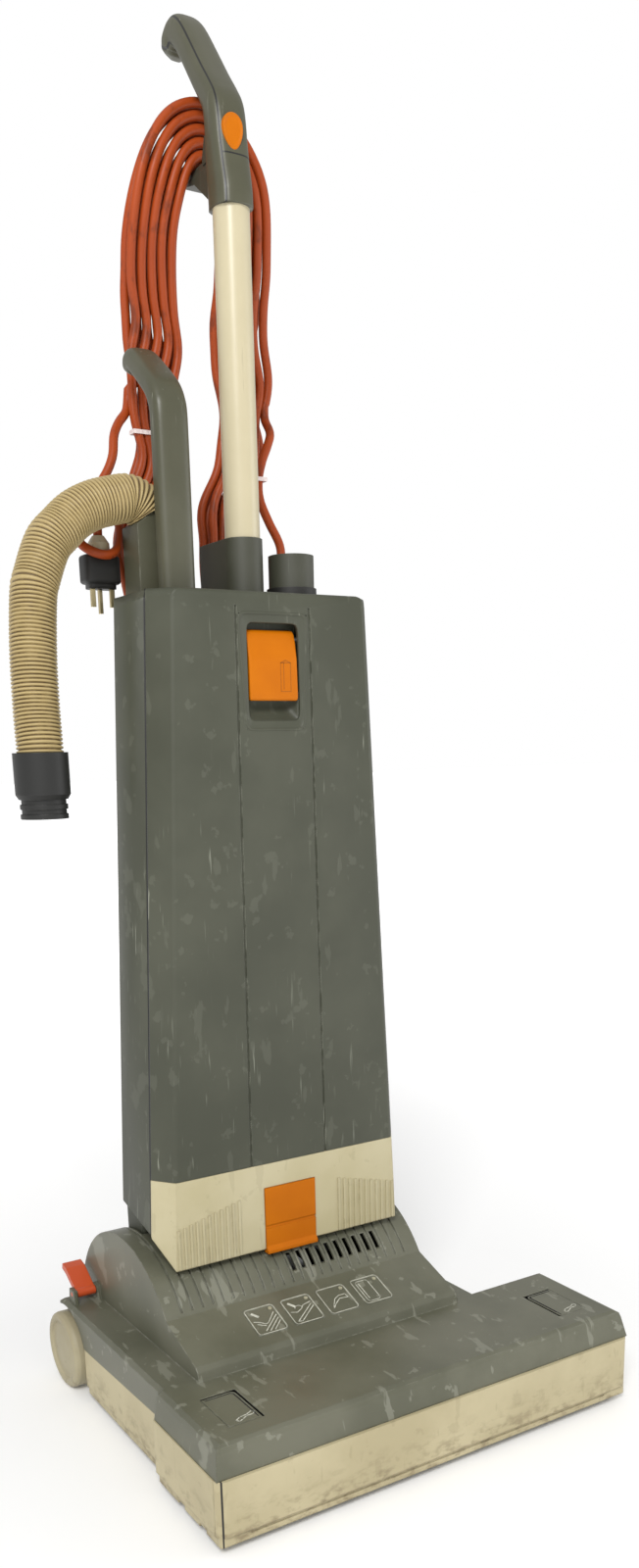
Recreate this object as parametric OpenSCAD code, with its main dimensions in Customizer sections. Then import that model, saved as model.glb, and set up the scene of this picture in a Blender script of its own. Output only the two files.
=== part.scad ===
// Commercial upright vacuum cleaner: floor head with belt-driven brush, tilting bag body,
// handle tube with wound supply cord, lift-out wand and a short ribbed hose.
// Millimetres, +Z up, the floor at z = 0. X = 0 is the middle of the wide head, and the
// front faces -Y. Set-backs are measured from the bumper's front edge towards the back.

/* [Head] */
// Width of the floor head across the bumper
head_w = 452; // [448:2:456]
// Depth from the bumper's front edge to the back of the tray
head_depth = 387; // [383:2:391]
// Depth of the wide front part
front_depth = 120; // [118:1:126]
// Step from the wide front part in to the narrow rear part on the left
left_step = 8; // [6:1:9]
// Step from the wide front part in to the narrow rear part on the right
right_step = 96; // [92:1:97]
// Distance of the rear wheels' backs ahead of the tray's back
wheel_lead = 2; // [1:0.5:3]
// Height of the bumper's lower edge above the floor
bumper_bottom = 11; // [10:0.5:12]
// Height of the bumper's upper edge at the front
bumper_top = 68; // [66:1:72]
// Height of the bumper's upper edge behind the wide front part
bumper_mid_top = 65; // [64:0.5:66]
// Height of the bumper's upper edge at the rear wheels
bumper_low_top = 56; // [52:1:60]
// Thickness of the bumper strips
bumper_t = 8; // [7:0.5:9]
// Height of the head cover's flat top
cover_top = 94; // [92:1:98]
// Set-back of the cover's front crest
crest_setback = 11; // [9:1:14]
// Wall of the mouldings in the head
head_wall = 3; // [2.5:0.5:3.5]
// Fillet on the head's front corners
corner_r = 10; // [6:1:14]

/* [Drum] */
// Middle of the drum and of the body, from the head's middle
body_x = -37; // [-40:1:-34]
// Width of the ribbed drum between its cheeks
drum_w = 278; // [276:1:279]
// Outer radius of the drum
drum_r = 115.5; // [114.5:0.5:116]
// Height of the drum's middle
drum_z = 62; // [61.5:0.5:63]
// Distance of the drum's middle ahead of the tilt axis
drum_lead = 19; // [18:1:20]
// Distance of the tilt axis ahead of the tray's back
tilt_lead = 97; // [96:1:98]
// Height of the tilt axis
tilt_z = 85; // [84:0.5:87]
// Thickness of the drum's cheeks
cheek_t = 4; // [3:0.5:5]
// Depth of the grooves between the drum's ribs
groove_depth = 1.6; // [1:0.2:2]
// Width of each groove between the drum's ribs
groove_w = 1.8; // [1.4:0.2:2.4]
// Spacing of the ribs on the drum
rib_pitch = 10.9; // [10.6:0.1:11]
// Number of air slots through the drum
slot_count = 10; // [8:1:12]
// Set-back of the panel's front edge
panel_setback = 118; // [117:1:120]
// Height of the panel's front edge
panel_low_z = 106; // [105:0.5:107]
// Height of the panel's rear edge at the drum
panel_high_z = 127; // [125:1:129]

/* [Brush drive] */
// Set-back of the brush axis
brush_setback = 62; // [60:0.5:64]
// Height of the brush axis
brush_z = 37; // [36.5:0.5:38]
// Radius of the brush at the tips of its tufts
brush_r = 35.5; // [34:0.5:36]
// Radius of the brush roller's core
brush_core_r = 22; // [20:0.5:24]
// Radius of the brush roller's stub shafts
brush_shaft_r = 5; // [4:0.5:6]
// Tufts in each of the two spiral rows
tuft_count = 22; // [16:1:26]
// Radius of one tuft
tuft_r = 2.4; // [2:0.2:3]
// Distance of the motor shaft ahead of the tilt axis
motor_lead = 10; // [9:1:11]
// Height of the motor shaft
motor_z = 61; // [60:0.5:62]
// Radius of the motor can
motor_r = 44; // [40:1:45]
// Radius of the motor shaft
motor_shaft_r = 4; // [3.5:0.5:4.5]
// Teeth on the motor pulley
motor_teeth = 15; // [12:1:16]
// Teeth on the brush pulley
brush_teeth = 22; // [20:1:24]
// Pitch of the toothed belt
belt_pitch = 5; // [5:0.1:5.2]
// Width of the toothed belt
belt_w = 9; // [7:1:10]
// Thickness of the toothed belt
belt_t = 1.8; // [1.4:0.2:2.4]

/* [Wheels] */
// Diameter of the rear wheels
wheel_d = 78; // [76:1:80]
// Width of the rear wheels
wheel_w = 26; // [25:0.5:26.5]
// Radius of the wheel axle
axle_r = 5; // [4:0.5:6]
// Diameter of the two small front rollers
roller_d = 17; // [15:1:18]
// Width of the front rollers
roller_w = 18; // [14:1:22]
// Radius of the front rollers' stub pins
roller_pin_r = 2.5; // [2:0.5:3]

/* [Body] */
// Half the body's width at its foot
body_foot_half = 139; // [136:1:140]
// Half the body's width at its top
body_top_half = 109; // [106:1:112]
// Distance of the body's front face ahead of the tilt axis
body_lead = 93; // [92:0.5:94]
// Height of the front cover's lower edge
body_foot_z = 162; // [160:1:166]
// Height of the body's top
body_top_z = 760; // [750:2:780]
// Height of the split between the two front covers
split_z = 248; // [244:1:252]
// Bevel of the front corners, across
bevel_x = 15; // [12:1:18]
// Bevel of the front corners, front to back: the depth of the covers
bevel_y = 23; // [20:1:26]
// Depth of the body's flat sides behind the covers
side_depth = 66; // [60:1:70]
// Depth of the rear corners' bevel
rear_bevel_y = 35; // [30:1:38]
// Width of the rear corners' bevel
rear_bevel_x = 26; // [20:1:30]
// Height of the rear shell's foot at the seam
seam_foot_z = 194; // [192:1:198]
// Height of the rear shell's foot at the back
rear_foot_z = 210; // [206:1:214]
// Wall of the body's shells
body_wall = 3.5; // [3:0.5:4]
// Radius of the left pivot pin
pivot_r = 11; // [10:0.5:12]
// Outer radius of the air spigot that is the right pivot
spigot_r = 20; // [18:0.5:21]
// Width of the arms that carry the body on its pivots
arm_w = 40; // [36:1:42]

/* [Covers] */
// Half width of the latch recess at its top
recess_top_half = 34; // [32:0.5:36]
// Half width of the latch recess at its bottom
recess_foot_half = 29; // [28:0.5:31]
// Height of the latch recess's bottom
recess_foot_z = 646; // [640:1:650]
// Height of the latch recess's top
recess_top_z = 742; // [738:1:744]
// Depth of the latch recess
recess_depth = 15; // [13:0.5:16]
// Width of the latch
latch_w = 48; // [44:1:50]
// Height of the latch
latch_h = 60; // [54:1:64]
// Thickness of the latch
latch_t = 5; // [4:0.5:6]
// Radius of the latch pin
latch_pin_r = 1.8; // [1.5:0.1:2]
// Width of the filter clip
clip_w = 56; // [50:1:60]
// Height of the filter clip
clip_h = 66; // [60:1:70]
// Thickness of the filter clip
clip_t = 5; // [4:0.5:6]
// Spacing of the grip ribs on the filter cover
cover_rib_pitch = 6.4; // [5.6:0.2:7]
// Ribs in each of the two fields
cover_rib_count = 11; // [9:1:12]
// Opening of the front cover's half panel at the split
panel_half = 40; // [36:1:44]

/* [Handle] */
// Diameter of the handle tube
tube_d = 31; // [30:0.5:32]
// Wall of the handle tube
tube_wall = 1.5; // [1.2:0.1:2]
// Distance of the handle tube's axis ahead of the tilt axis
tube_lead = 44; // [43:0.5:45]
// Height of the tube socket above the body
socket_h = 48; // [46:1:50]
// Width of the tube socket
socket_w = 34.6; // [34.4:0.2:35.4]
// Height where the tube enters the grip
grip_foot_z = 1062; // [1050:2:1080]
// Height of the grip above its foot
grip_h = 169; // [166:1:172]
// Width of the grip
grip_w = 33; // [32.5:0.5:34]
// Radius of the cord
cord_r = 4; // [3.6:0.1:4]

/* [Top fittings] */
// Place of the accessory socket, to the right of the body's middle
accessory_x = 49; // [48:0.5:50]
// Outer radius of the accessory socket
accessory_r = 20.5; // [20:0.5:21]
// Radius of the accessory socket's bore
accessory_bore_r = 16.5; // [16:0.5:17]
// Height of the accessory socket above the body
accessory_h = 37; // [35:1:39]
// Depth of the accessory socket's bore
accessory_depth = 52; // [50:1:54]
// Place of the wand, to the left of the body's middle
wand_x = 66; // [65:0.5:67]
// Width of the wand
wand_w = 31; // [30:0.5:31.5]
// Depth of the wand, front to back
wand_d = 20; // [19:0.5:20.5]
// Height of the wand above the body
wand_h = 204; // [200:1:208]
// Depth of the wand's seat in the body
wand_seat = 45; // [40:1:50]
// Outer radius of the hose
hose_r = 19.5; // [19:0.5:20]
// Radius of the hose's bore
hose_bore_r = 15; // [14.5:0.5:15.5]
// Length of the hose cuff
cuff_h = 48; // [44:1:52]

/* [Hidden] */
$fn = 64;
eps = 0.01;

// Clearances
running = 0.05; // radial clearance of a shaft or pin in its bore
gap = 0.4;      // clearance between pieces that move past each other
seat = 0.1;     // clearance of a piece in the pocket that holds it

// Colours
grey = "#5c5f58";
cream = "#d7cdaf";
ivory = "#e1dcc8";
orange = "#f09114";
red = "#e65a1e";
cord_red = "#c4542d";
black = "#26272a";
steel = "#b8bcc0";
white = "#f2f0e8";

// Head, worked out
half_w = head_w / 2;
rear_left = half_w - left_step;
rear_right = half_w - right_step;
wheel_r = wheel_d / 2;
axle_setback = head_depth - wheel_lead - wheel_r;
arch_r = wheel_r + 8;
arch_setback = axle_setback - arch_r + 2;
arch_w = wheel_w - left_step + 3;
cover_rear = axle_setback + 16;
tray_top = 60;
tilt_setback = head_depth - tilt_lead;
drum_setback = tilt_setback - drum_lead;
drum_x = body_x - 4;
drum_left = drum_x - drum_w / 2;
drum_right = drum_x + drum_w / 2;
floor_z = bumper_bottom + head_wall;
tunnel_r = brush_r + 4;
tunnel_left = -half_w + bumper_t + head_wall + 28;
tunnel_right = half_w - bumper_t - head_wall - 11;
bearing_t = 9;
core_left = tunnel_left + bearing_t + 2;
core_right = tunnel_right - bearing_t - 2;
pulley_x = -rear_left + bumper_t + head_wall + 3;
pulley_w = belt_w + 4;
motor_setback = tilt_setback - motor_lead;
motor_pulley_r = motor_teeth * belt_pitch / (2 * PI);
brush_pulley_r = brush_teeth * belt_pitch / (2 * PI);
motor_l = 144;
motor_left = body_x - 78;
motor_right = motor_left + motor_l;
fan_t = 8;
duct_x = motor_right + fan_t + 5;
duct_w = 22;
arm_t = 12;
left_arm_x = drum_left + 20;
right_arm_x = duct_x + duct_w + gap;
right_arm_t = 25;
arm_slot_gap = 4;
arm_slot_r = 68;
flap_w = 31;
flap_l = 51;
flap_t = 4;
flap_x = half_w - 45;
flap_setback = 58;
skirt_z = 17;
skirt_in = 2;
flap_slot = 2.2; // open slot behind a release flap and on its inner side
roller_setback = front_depth - bumper_t - roller_d / 2 - 2;
roller_x = half_w - 118;
tuft_l = brush_r - brush_core_r + 1;
panel_rear_setback = drum_setback - sqrt(pow(drum_r, 2) - pow(panel_high_z - drum_z, 2));
panel_slope = atan2(panel_high_z - panel_low_z, panel_rear_setback - panel_setback);
panel_length = norm([panel_high_z - panel_low_z, panel_rear_setback - panel_setback]);
sign_w = 32;
sign_l = 35;
sign_pitch = 39.5;
sign_edge = 1.2;
lens_r = 2;
pedal_x = -rear_left + 20;
pedal_w = 20;
pedal_setback = axle_setback - 5;
pedal_pivot_z = cover_top + 5;
pedal_pin_r = 2.5;

// Body, worked out
body_setback = tilt_setback - body_lead;
body_rear = body_setback + bevel_y + side_depth + rear_bevel_y;
seam_setback = body_setback + bevel_y;
latch_top_z = recess_top_z - 12;
latch_pin_z = latch_top_z - 8;
clip_top_z = split_z - 24;
tube_setback = tilt_setback - tube_lead;
accessory_setback = tube_setback;
wand_setback = tube_setback;
tube_r = tube_d / 2;
grip_overlap = 11;

// The set-back s as a place along Y
function at_y(s) = s - head_depth / 2;

// A point given as [x, set-back, z] in the part's frame
function spot(p) = [p.x, at_y(p.y), p.z];

// Half the body's outside width at height z
function body_half(z) = body_foot_half
    + (body_top_half - body_foot_half) * (z - body_foot_z) / (body_top_z - body_foot_z);

// Places a child at x, at a set-back s and at height z
module place(x, s, z) translate([x, at_y(s), z]) children();

// A round bar along X from x0 to x1, its axis at set-back s and height z
module bar_x(x0, x1, s, z, r, fn = 64)
    translate([x0, at_y(s), z]) rotate([0, 90, 0]) cylinder(h = x1 - x0, r = r, $fn = fn);

// A side profile, its points given as [set-back, height], extruded from x0 to x1
module side_profile(x0, x1, points)
    translate([x0, -head_depth / 2, 0]) rotate([90, 0, 90])
        linear_extrude(x1 - x0) polygon(points);

// A block from one corner to the other, its corners given as [x, set-back, z]
module block(a, b) translate([a.x, at_y(a.y), a.z]) cube(b - a);

// A solid between the same outline at two heights; the outline runs clockwise from above
module loft(low, high, z0, z1) {
    n = len(low);
    polyhedron(
        points = concat([for (p = low) [p.x, p.y, z0]], [for (p = high) [p.x, p.y, z1]]),
        faces = concat(
            [[for (i = [n - 1 : -1 : 0]) i]],
            [[for (i = [0 : n - 1]) n + i]],
            [for (i = [0 : n - 1]) [i, (i + 1) % n, n + (i + 1) % n, n + i]]
        )
    );
}

// ---------------------------------------------------------------- sweeps

function unit(v) = v / norm(v);

// Direction of a path at its point i: straight on at both ends
function heading(path, i) = unit(path[min(i + 1, len(path) - 1)] - path[max(i - 1, 0)]);

// A vector square to direction t, as near to up as can be
function side_of(t, up) = unit(cross(t, up));

// Ring of points round a path's point, with half widths a and b: oval for q = 1, squarer below
function ring_at(p, t, up, a, b, sides, q) =
    let (u = side_of(t, up), v = cross(t, u))
    [for (k = [0 : sides - 1]) let (c = cos(360 * k / sides), d = sin(360 * k / sides))
        p + a * sign(c) * pow(abs(c), q) * u + b * sign(d) * pow(abs(d), q) * v];

// Faces of a tube of n rings, closed at both ends, as triangles
function tube_faces(n, sides) = concat(
    [for (i = [0 : n - 2], k = [0 : sides - 1])
        [i * sides + k, (i + 1) * sides + k, i * sides + (k + 1) % sides]],
    [for (i = [0 : n - 2], k = [0 : sides - 1])
        [(i + 1) * sides + k, (i + 1) * sides + (k + 1) % sides, i * sides + (k + 1) % sides]],
    [for (k = [1 : sides - 2]) [0, k, k + 1]],
    [for (k = [1 : sides - 2]) [(n - 1) * sides, (n - 1) * sides + k + 1, (n - 1) * sides + k]]
);

// A round or oval rod along a path; a and b are lists of its half widths
module rod(path, a, b, up = [0, 1, 0], sides = 8, q = 1)
    polyhedron(
        points = [for (i = [0 : len(path) - 1])
            each ring_at(path[i], heading(path, i), up, a[i], b[i], sides, q)],
        faces = tube_faces(len(path), sides)
    );

// A round rod of one radius
module cord_rod(path, r, up = [0, 1, 0], sides = 8)
    rod(path, [for (p = path) r], [for (p = path) r], up, sides);

// Points of a smooth curve through a list of points, n steps for each stretch
function curve_point(a, b, c, d, t) = 0.5 * ((2 * b) + (c - a) * t
    + (2 * a - 5 * b + 4 * c - d) * t * t + (3 * b - a - 3 * c + d) * t * t * t);
function curve(pts, n) = concat(
    [for (i = [0 : len(pts) - 2], k = [0 : n - 1])
        curve_point(pts[max(i - 1, 0)], pts[i], pts[i + 1], pts[min(i + 2, len(pts) - 1)], k / n)],
    [pts[len(pts) - 1]]
);

// Points of a path set anew at n equal steps
function evenly(path, n) =
    let (d = [for (i = 0, s = 0; i < len(path); i = i + 1,
                  s = s + norm(path[min(i, len(path) - 1)] - path[i - 1])) s],
         total = d[len(d) - 1])
    [for (k = [0 : n]) [for (c = [0 : 2])
        lookup(total * k / n, [for (i = [0 : len(path) - 1]) [d[i], path[i][c]]])]];

// ---------------------------------------------------------------- floor head

// Outline of the head from above, y as the set-back
module head_outline() {
    translate([-half_w, 0]) square([head_w, front_depth]);
    translate([-rear_left, 0]) square([rear_left + rear_right, head_depth + bumper_t]);
}

// Notches of the two rear wheels from above, grown by d
module wheel_notches(d) {
    translate([-half_w - 1, arch_setback - d]) square([left_step + arch_w + d + 1, head_depth]);
    translate([rear_right - arch_w - d, arch_setback - d]) square([arch_w + d + 60, head_depth]);
}

module head_slab(z0, z1, inset)
    translate([0, -head_depth / 2, z0]) linear_extrude(z1 - z0)
        difference() {
            offset(delta = -inset) head_outline();
            wheel_notches(inset - bumper_t);
        }

module base_tray() color(grey) {
    saddle_x = [motor_left + 14, motor_right - 20];
    difference() {
        union() {
            difference() {
                head_slab(bumper_bottom, tray_top, bumper_t);
                head_slab(floor_z, tray_top + 1, bumper_t + head_wall);
                tunnel_void(head_wall);
            }
            // Brush tunnel with its two end plates
            difference() {
                bar_x(tunnel_left - head_wall, tunnel_right + head_wall,
                    brush_setback, brush_z, tunnel_r + head_wall);
                block([-half_w, 0, -50], [half_w, front_depth, bumper_bottom]);
            }
            // Saddles under the motor
            for (x = saddle_x)
                block([x, motor_setback - motor_r, floor_z - eps],
                    [x + 6, motor_setback + motor_r, motor_z - motor_r / 2]);
            // Post of the left pivot
            hull() {
                bar_x(left_arm_x - 14, left_arm_x - 4, tilt_setback, tilt_z, pivot_r + 8, 32);
                block([left_arm_x - 14, tilt_setback - 34, floor_z - 1],
                    [left_arm_x - 4, tilt_setback + 30, floor_z]);
            }
            // Axle bosses
            for (x = [-rear_left + arch_w + head_wall - 1, rear_right - arch_w - head_wall - 11])
                block([x, axle_setback - 9, floor_z - eps],
                    [x + 12, axle_setback + 9, axle_z() + 9]);
        }
        // Inside of the tunnel, open to the floor
        bar_x(tunnel_left, tunnel_right, brush_setback, brush_z, tunnel_r);
        block([tunnel_left, brush_setback - 30, 0],
            [tunnel_right, brush_setback + 30, brush_z]);
        // Brush shaft through the left end plate
        bar_x(tunnel_left - 10, tunnel_left + 1, brush_setback, brush_z, brush_shaft_r + 3);
        // Air outlet at the back of the tunnel
        block([duct_x + 3, brush_setback + 20, floor_z + 3],
            [duct_x + duct_w - 3, front_depth - bumper_t - head_wall - 5, floor_z + 25]);
        bar_x(motor_left - 1, motor_right + 1, motor_setback, motor_z, motor_r + seat);
        bar_x(left_arm_x - 20, left_arm_x, tilt_setback, tilt_z, pivot_r + running);
        bar_x(left_arm_x - 20, left_arm_x, motor_setback, motor_z, motor_shaft_r + 3);
        bar_x(-half_w, half_w, axle_setback, axle_z(), axle_r + running);
        // Opening of the sole behind which the front rollers stand
        for (side = [-1, 1])
            block([side * roller_x - roller_w, roller_setback - roller_d, 0],
                [side * roller_x + roller_w, roller_setback + roller_d / 2 + 2, roller_d + 3]);
    }
}

function axle_z() = wheel_r;

// What the tunnel takes out of the tray's floor
module tunnel_void(extra)
    block([tunnel_left - extra, brush_setback - tunnel_r, 0],
        [tunnel_right + extra, brush_setback + tunnel_r, brush_z]);

// Plate under the brush: a frame with cross bars and two pairs of roller ears
module sole_plate() color(black) {
    plate_t = 3.5;
    top = bumper_bottom;
    bottom = top - plate_t;
    window_l = 2 * brush_r - 8;
    difference() {
        union() {
            block([tunnel_left - 8, bumper_t + 6, bottom],
                [tunnel_right + 8, front_depth - bumper_t - 1, top]);
            for (side = [-1, 1], end = [-1, 1])
                translate([side * roller_x + end * (roller_w / 2 + gap + 2), 0, 0])
                    roller_ear(bottom);
        }
        block([tunnel_left, brush_setback - window_l / 2, 0],
            [tunnel_right, brush_setback + window_l / 2, top + 1]);
        for (side = [-1, 1]) {
            block([side * roller_x - roller_w / 2 - gap, roller_setback - roller_d / 2 - 2, 0],
                [side * roller_x + roller_w / 2 + gap, roller_setback + roller_d / 2 + 2, top + 1]);
            bar_x(side * roller_x - 20, side * roller_x + 20, roller_setback, roller_d / 2,
                roller_pin_r + running);
        }
    }
}

module roller_ear(bottom)
    block([-2, roller_setback - 5, roller_d / 2 - 5],
        [2, roller_setback + 5, roller_d / 2 + 7]);

// Cream strip across the front
module front_bumper() color(cream)
    difference() {
        intersection() {
            head_strip();
            block([-half_w, 0, 0], [half_w, bumper_t, bumper_top]);
        }
        // Thin groove along the front of the lowest band
        block([-half_w + 30, -1, bumper_bottom + 2],
            [half_w - 30, skirt_in + 0.8, bumper_bottom + 3.5]);
    }

// The whole bumper as one band, cut low towards the rear wheels
module head_strip()
    difference() {
        intersection() {
            head_slab(bumper_bottom - 3, bumper_top, 0);
            translate([0, -head_depth / 2, 0]) linear_extrude(bumper_top)
                rounded_front();
        }
        head_slab(bumper_bottom - 4, bumper_top + 1, bumper_t);
        bumper_fall();
        bumper_skirt();
        // Scallops in the lower edge of the wide part's ends
        for (s = [28, 68])
            block([-half_w - 1, s, 0], [half_w + 1, s + 12, bumper_bottom]);
    }

// What is cut from the bumper where its upper edge falls towards the back
module bumper_fall()
    side_profile(-half_w - 1, half_w + 1, [
        [front_depth, bumper_mid_top], [arch_setback, bumper_low_top],
        [head_depth, bumper_low_top], [head_depth, bumper_top + 1], [front_depth, bumper_top + 1]
    ]);

// What sets the bumper's lowest band back behind its face
module bumper_skirt()
    difference() {
        block([-half_w - 1, -1, 0], [half_w + 1, head_depth, skirt_z]);
        head_slab(-1, skirt_z + 1, skirt_in);
    }

module rounded_front() {
    translate([-half_w + corner_r, corner_r]) circle(corner_r);
    translate([half_w - corner_r, corner_r]) circle(corner_r);
    translate([-half_w + corner_r, 0]) square([head_w - 2 * corner_r, head_depth]);
    translate([-half_w, corner_r]) square([head_w, head_depth]);
}

module left_bumper() color(cream)
    intersection() {
        head_strip();
        block([-half_w - 1, bumper_t, 0], [-rear_left + bumper_t, arch_setback, bumper_top + 1]);
    }

module right_bumper() color(cream)
    intersection() {
        head_strip();
        block([rear_right - bumper_t, bumper_t, 0], [half_w + 1, arch_setback, bumper_top + 1]);
    }

// Solid under the outside of the head cover, or its inside when d is the wall
module cover_body(d) {
    low = d > 0 ? tray_top - 5 : bumper_top;
    // Wide front part, its ends sloped
    intersection() {
        side_profile(-half_w + d, half_w - d, [
            [crest_setback - 8 + d, low], [crest_setback - 2.5 + d, cover_top - 6 - d],
            [crest_setback - 0.7 + d, cover_top - 2 - d], [crest_setback + 3 + d, cover_top - d],
            [front_depth - d, cover_top - d], [front_depth - d, low]
        ]);
        translate([0, at_y(0), 0]) rotate([90, 0, 0]) mirror([0, 0, 1])
            linear_extrude(front_depth) polygon([
                [-half_w + 1 + d, low], [-half_w + 4.5 + d, cover_top - 7 - d],
                [-half_w + 5.8 + d, cover_top - 2.6 - d], [-half_w + 10 + d, cover_top - d],
                [half_w - 10 - d, cover_top - d], [half_w - 5.8 - d, cover_top - 2.6 - d],
                [half_w - 4.5 - d, cover_top - 7 - d], [half_w - 1 - d, low]
            ]);
    }
    // Belt channel on the left and shoulder on the right
    channel(-rear_left + d, drum_left - cheek_t + 2 * d, d, 1);
    channel(drum_right + cheek_t - 2 * d, rear_right - d, d, -1);
    // Panel and drum
    end = d > 0 ? 0 : cheek_t;
    side_profile(drum_left - end, drum_right + end, [
        [panel_setback - 7 + 2 * d, low], [panel_setback - 6 + 1.2 * d, cover_top - d],
        [panel_setback - 3.6 + d, panel_low_z - 4 - d], [panel_setback + d, panel_low_z - d],
        [panel_rear_setback, panel_high_z - d],
        [drum_setback, panel_high_z - d], [drum_setback, low]
    ]);
    bar_x(drum_left - end, drum_right + end, drum_setback, drum_z, drum_r - d, 128);
    side_profile(drum_left - end, drum_right + end, [
        [panel_rear_setback, tray_top - 10 * sign(d)], [panel_rear_setback, drum_z],
        [drum_setback + drum_r - d, drum_z], [drum_setback + drum_r - d, tray_top - 10 * sign(d)]
    ]);
}

// Side of the cover beside the drum, its outer upper edge bevelled, with the arch over a wheel
module channel(x0, x1, d, side) {
    top = cover_top - d;
    rear_top = cover_top - 4 - d;
    bevel = 5;
    wheel = side > 0 ? [x0 - 1, -rear_left + arch_w + d] : [rear_right - arch_w - d, x1 + 1];
    difference() {
        side_profile(x0, x1, [
            [front_depth - 20, bumper_top - 10 * sign(d)], [front_depth - 20, top],
            [front_depth, top], [cover_rear - 5 - d, rear_top], [cover_rear - d, rear_top - 4],
            [cover_rear - d, tray_top - 10], [arch_setback, bumper_low_top - 20 * sign(d)],
            [front_depth, bumper_mid_top - 10 * sign(d)], [front_depth, bumper_top - 10 * sign(d)]
        ]);
        bar_x(wheel[0], wheel[1], axle_setback, axle_z(), arch_r + d, 96);
        block([wheel[0], arch_setback, 0], [wheel[1], head_depth, axle_z() + d]);
        translate([side > 0 ? x0 : x1, at_y(front_depth), top])
            rotate([-atan(4 / (cover_rear - 5 - front_depth)), 0, 0]) rotate([0, 45, 0])
                cube([bevel, 2 * head_depth, bevel], center = true);
    }
}

module head_cover() color(grey) {
    arm_reach = arm_w / 2 + arm_slot_gap;
    groove_count = floor((drum_w - 14) / rib_pitch);
    first_groove = drum_x - (groove_count - 1) / 2 * rib_pitch;
    difference() {
        union() {
            difference() {
                cover_body(0);
                cover_body(head_wall);
                // Everything below the cover's lower edges
                block([-half_w - 1, -1, drum_z - drum_r - 1],
                    [half_w + 1, head_depth + 1, bumper_low_top]);
                head_slab(0, tray_top, bumper_t - 1);
            }
            // Low roofs behind the channels, between the wheels and the drum
            for (span = [[-rear_left + arch_w, drum_left], [drum_right, rear_right - arch_w]])
                block([span[0], cover_rear - 4, tray_top], [span[1], head_depth, tray_top + head_wall]);
            // Ears of the foot pedal
            for (side = [-1, 1])
                pedal_ear(pedal_x + side * (pedal_w / 2 + gap + 2));
            // Outlines of the four pictogram fields
            for (i = [0 : 3]) sign_frame(i);
        }
        // Grooves between the ribs
        for (i = [0 : groove_count - 1])
            rib_groove(first_groove + i * rib_pitch);
        // Air slots between the grooves of the right part
        for (i = [0 : slot_count - 1])
            air_slot(first_groove + (groove_count - slot_count - 2.5 + i) * rib_pitch);
        // Slots in which the body's arms swing
        for (span = [[left_arm_x - 3, left_arm_x + arm_t + 3],
                     [right_arm_x - 3, right_arm_x + right_arm_t + 3]])
            difference() {
                block([span[0], tilt_setback - arm_reach, tilt_z - 8],
                    [span[1], head_depth + 1, drum_z + drum_r + 5]);
                bar_x(span[0] - 1, span[1] + 1, tilt_setback, tilt_z, arm_slot_r);
            }
        // Windows of the release flaps
        for (side = [-1, 1])
            flap_window(side);
        // Motor shaft through the left cheek
        block([drum_left - cheek_t - 1, motor_setback - 7, tray_top - 1],
            [drum_left + 1, motor_setback + 7, motor_z + 7]);
        bar_x(pedal_x - pedal_w, pedal_x + pedal_w, pedal_setback, pedal_pivot_z,
            pedal_pin_r + running);
        for (i = [0 : 3]) lens_seat(i) cylinder(h = 12, r = lens_r + seat, center = true);
    }
}

// Window of a release flap, with an open slot behind the flap and on its inner side
module flap_window(side) {
    inner = flap_w / 2 + flap_slot;
    outer = flap_w / 2 + gap;
    x = side * flap_x;
    place(x, flap_setback, cover_top - 8) linear_extrude(9)
        translate([side > 0 ? -inner : -outer, -flap_l / 2 - gap])
            square([inner + outer, flap_l + gap + flap_slot]);
}

module rib_groove(x)
    difference() {
        bar_x(x - groove_w / 2, x + groove_w / 2, drum_setback, drum_z, drum_r + 1, 128);
        bar_x(x - groove_w, x + groove_w, drum_setback, drum_z, drum_r - groove_depth, 128);
        block([x - groove_w, 0, 0], [x + groove_w, head_depth + 20, panel_high_z + 3]);
    }

module air_slot(x)
    block([x - 2.5, panel_rear_setback, panel_high_z + 11],
        [x + 2.5, panel_rear_setback + 60, panel_high_z + 25]);

// Places a child on the sloped panel: x across, u up the slope
module on_panel(x, u)
    translate([x, at_y(panel_setback), panel_low_z])
        rotate([panel_slope, 0, 0]) translate([0, u, 0]) children();

function sign_x(i) = body_x + 59 - (3 - i) * sign_pitch;
sign_u = 30.5;

// Raised outline of a pictogram field, its corners rounded
module sign_frame(i)
    on_panel(sign_x(i), sign_u)
        translate([0, 0, -0.5]) linear_extrude(1.1) difference() {
            sign_field(0);
            sign_field(sign_edge);
        }

module sign_field(d)
    offset(r = 3 - d) square([sign_w - 6, sign_l - 6], center = true);

module lens_seat(i)
    on_panel(sign_x(i) + sign_w / 2 - 5, sign_u + sign_l / 2 - 5.5) children();

module indicator_lenses() color(red)
    for (i = [0 : 3])
        lens_seat(i) translate([0, 0, -4]) {
            cylinder(h = 4.8, r = lens_r);
            cylinder(h = 1, r = lens_r - 0.4);
        }

module pedal_ear(x)
    side_profile(x - 2, x + 2, [
        [pedal_setback - 9, cover_top - 7], [pedal_setback - 6, pedal_pivot_z + 5],
        [pedal_setback + 6, pedal_pivot_z + 5], [pedal_setback + 9, cover_top - 8]
    ]);

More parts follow.
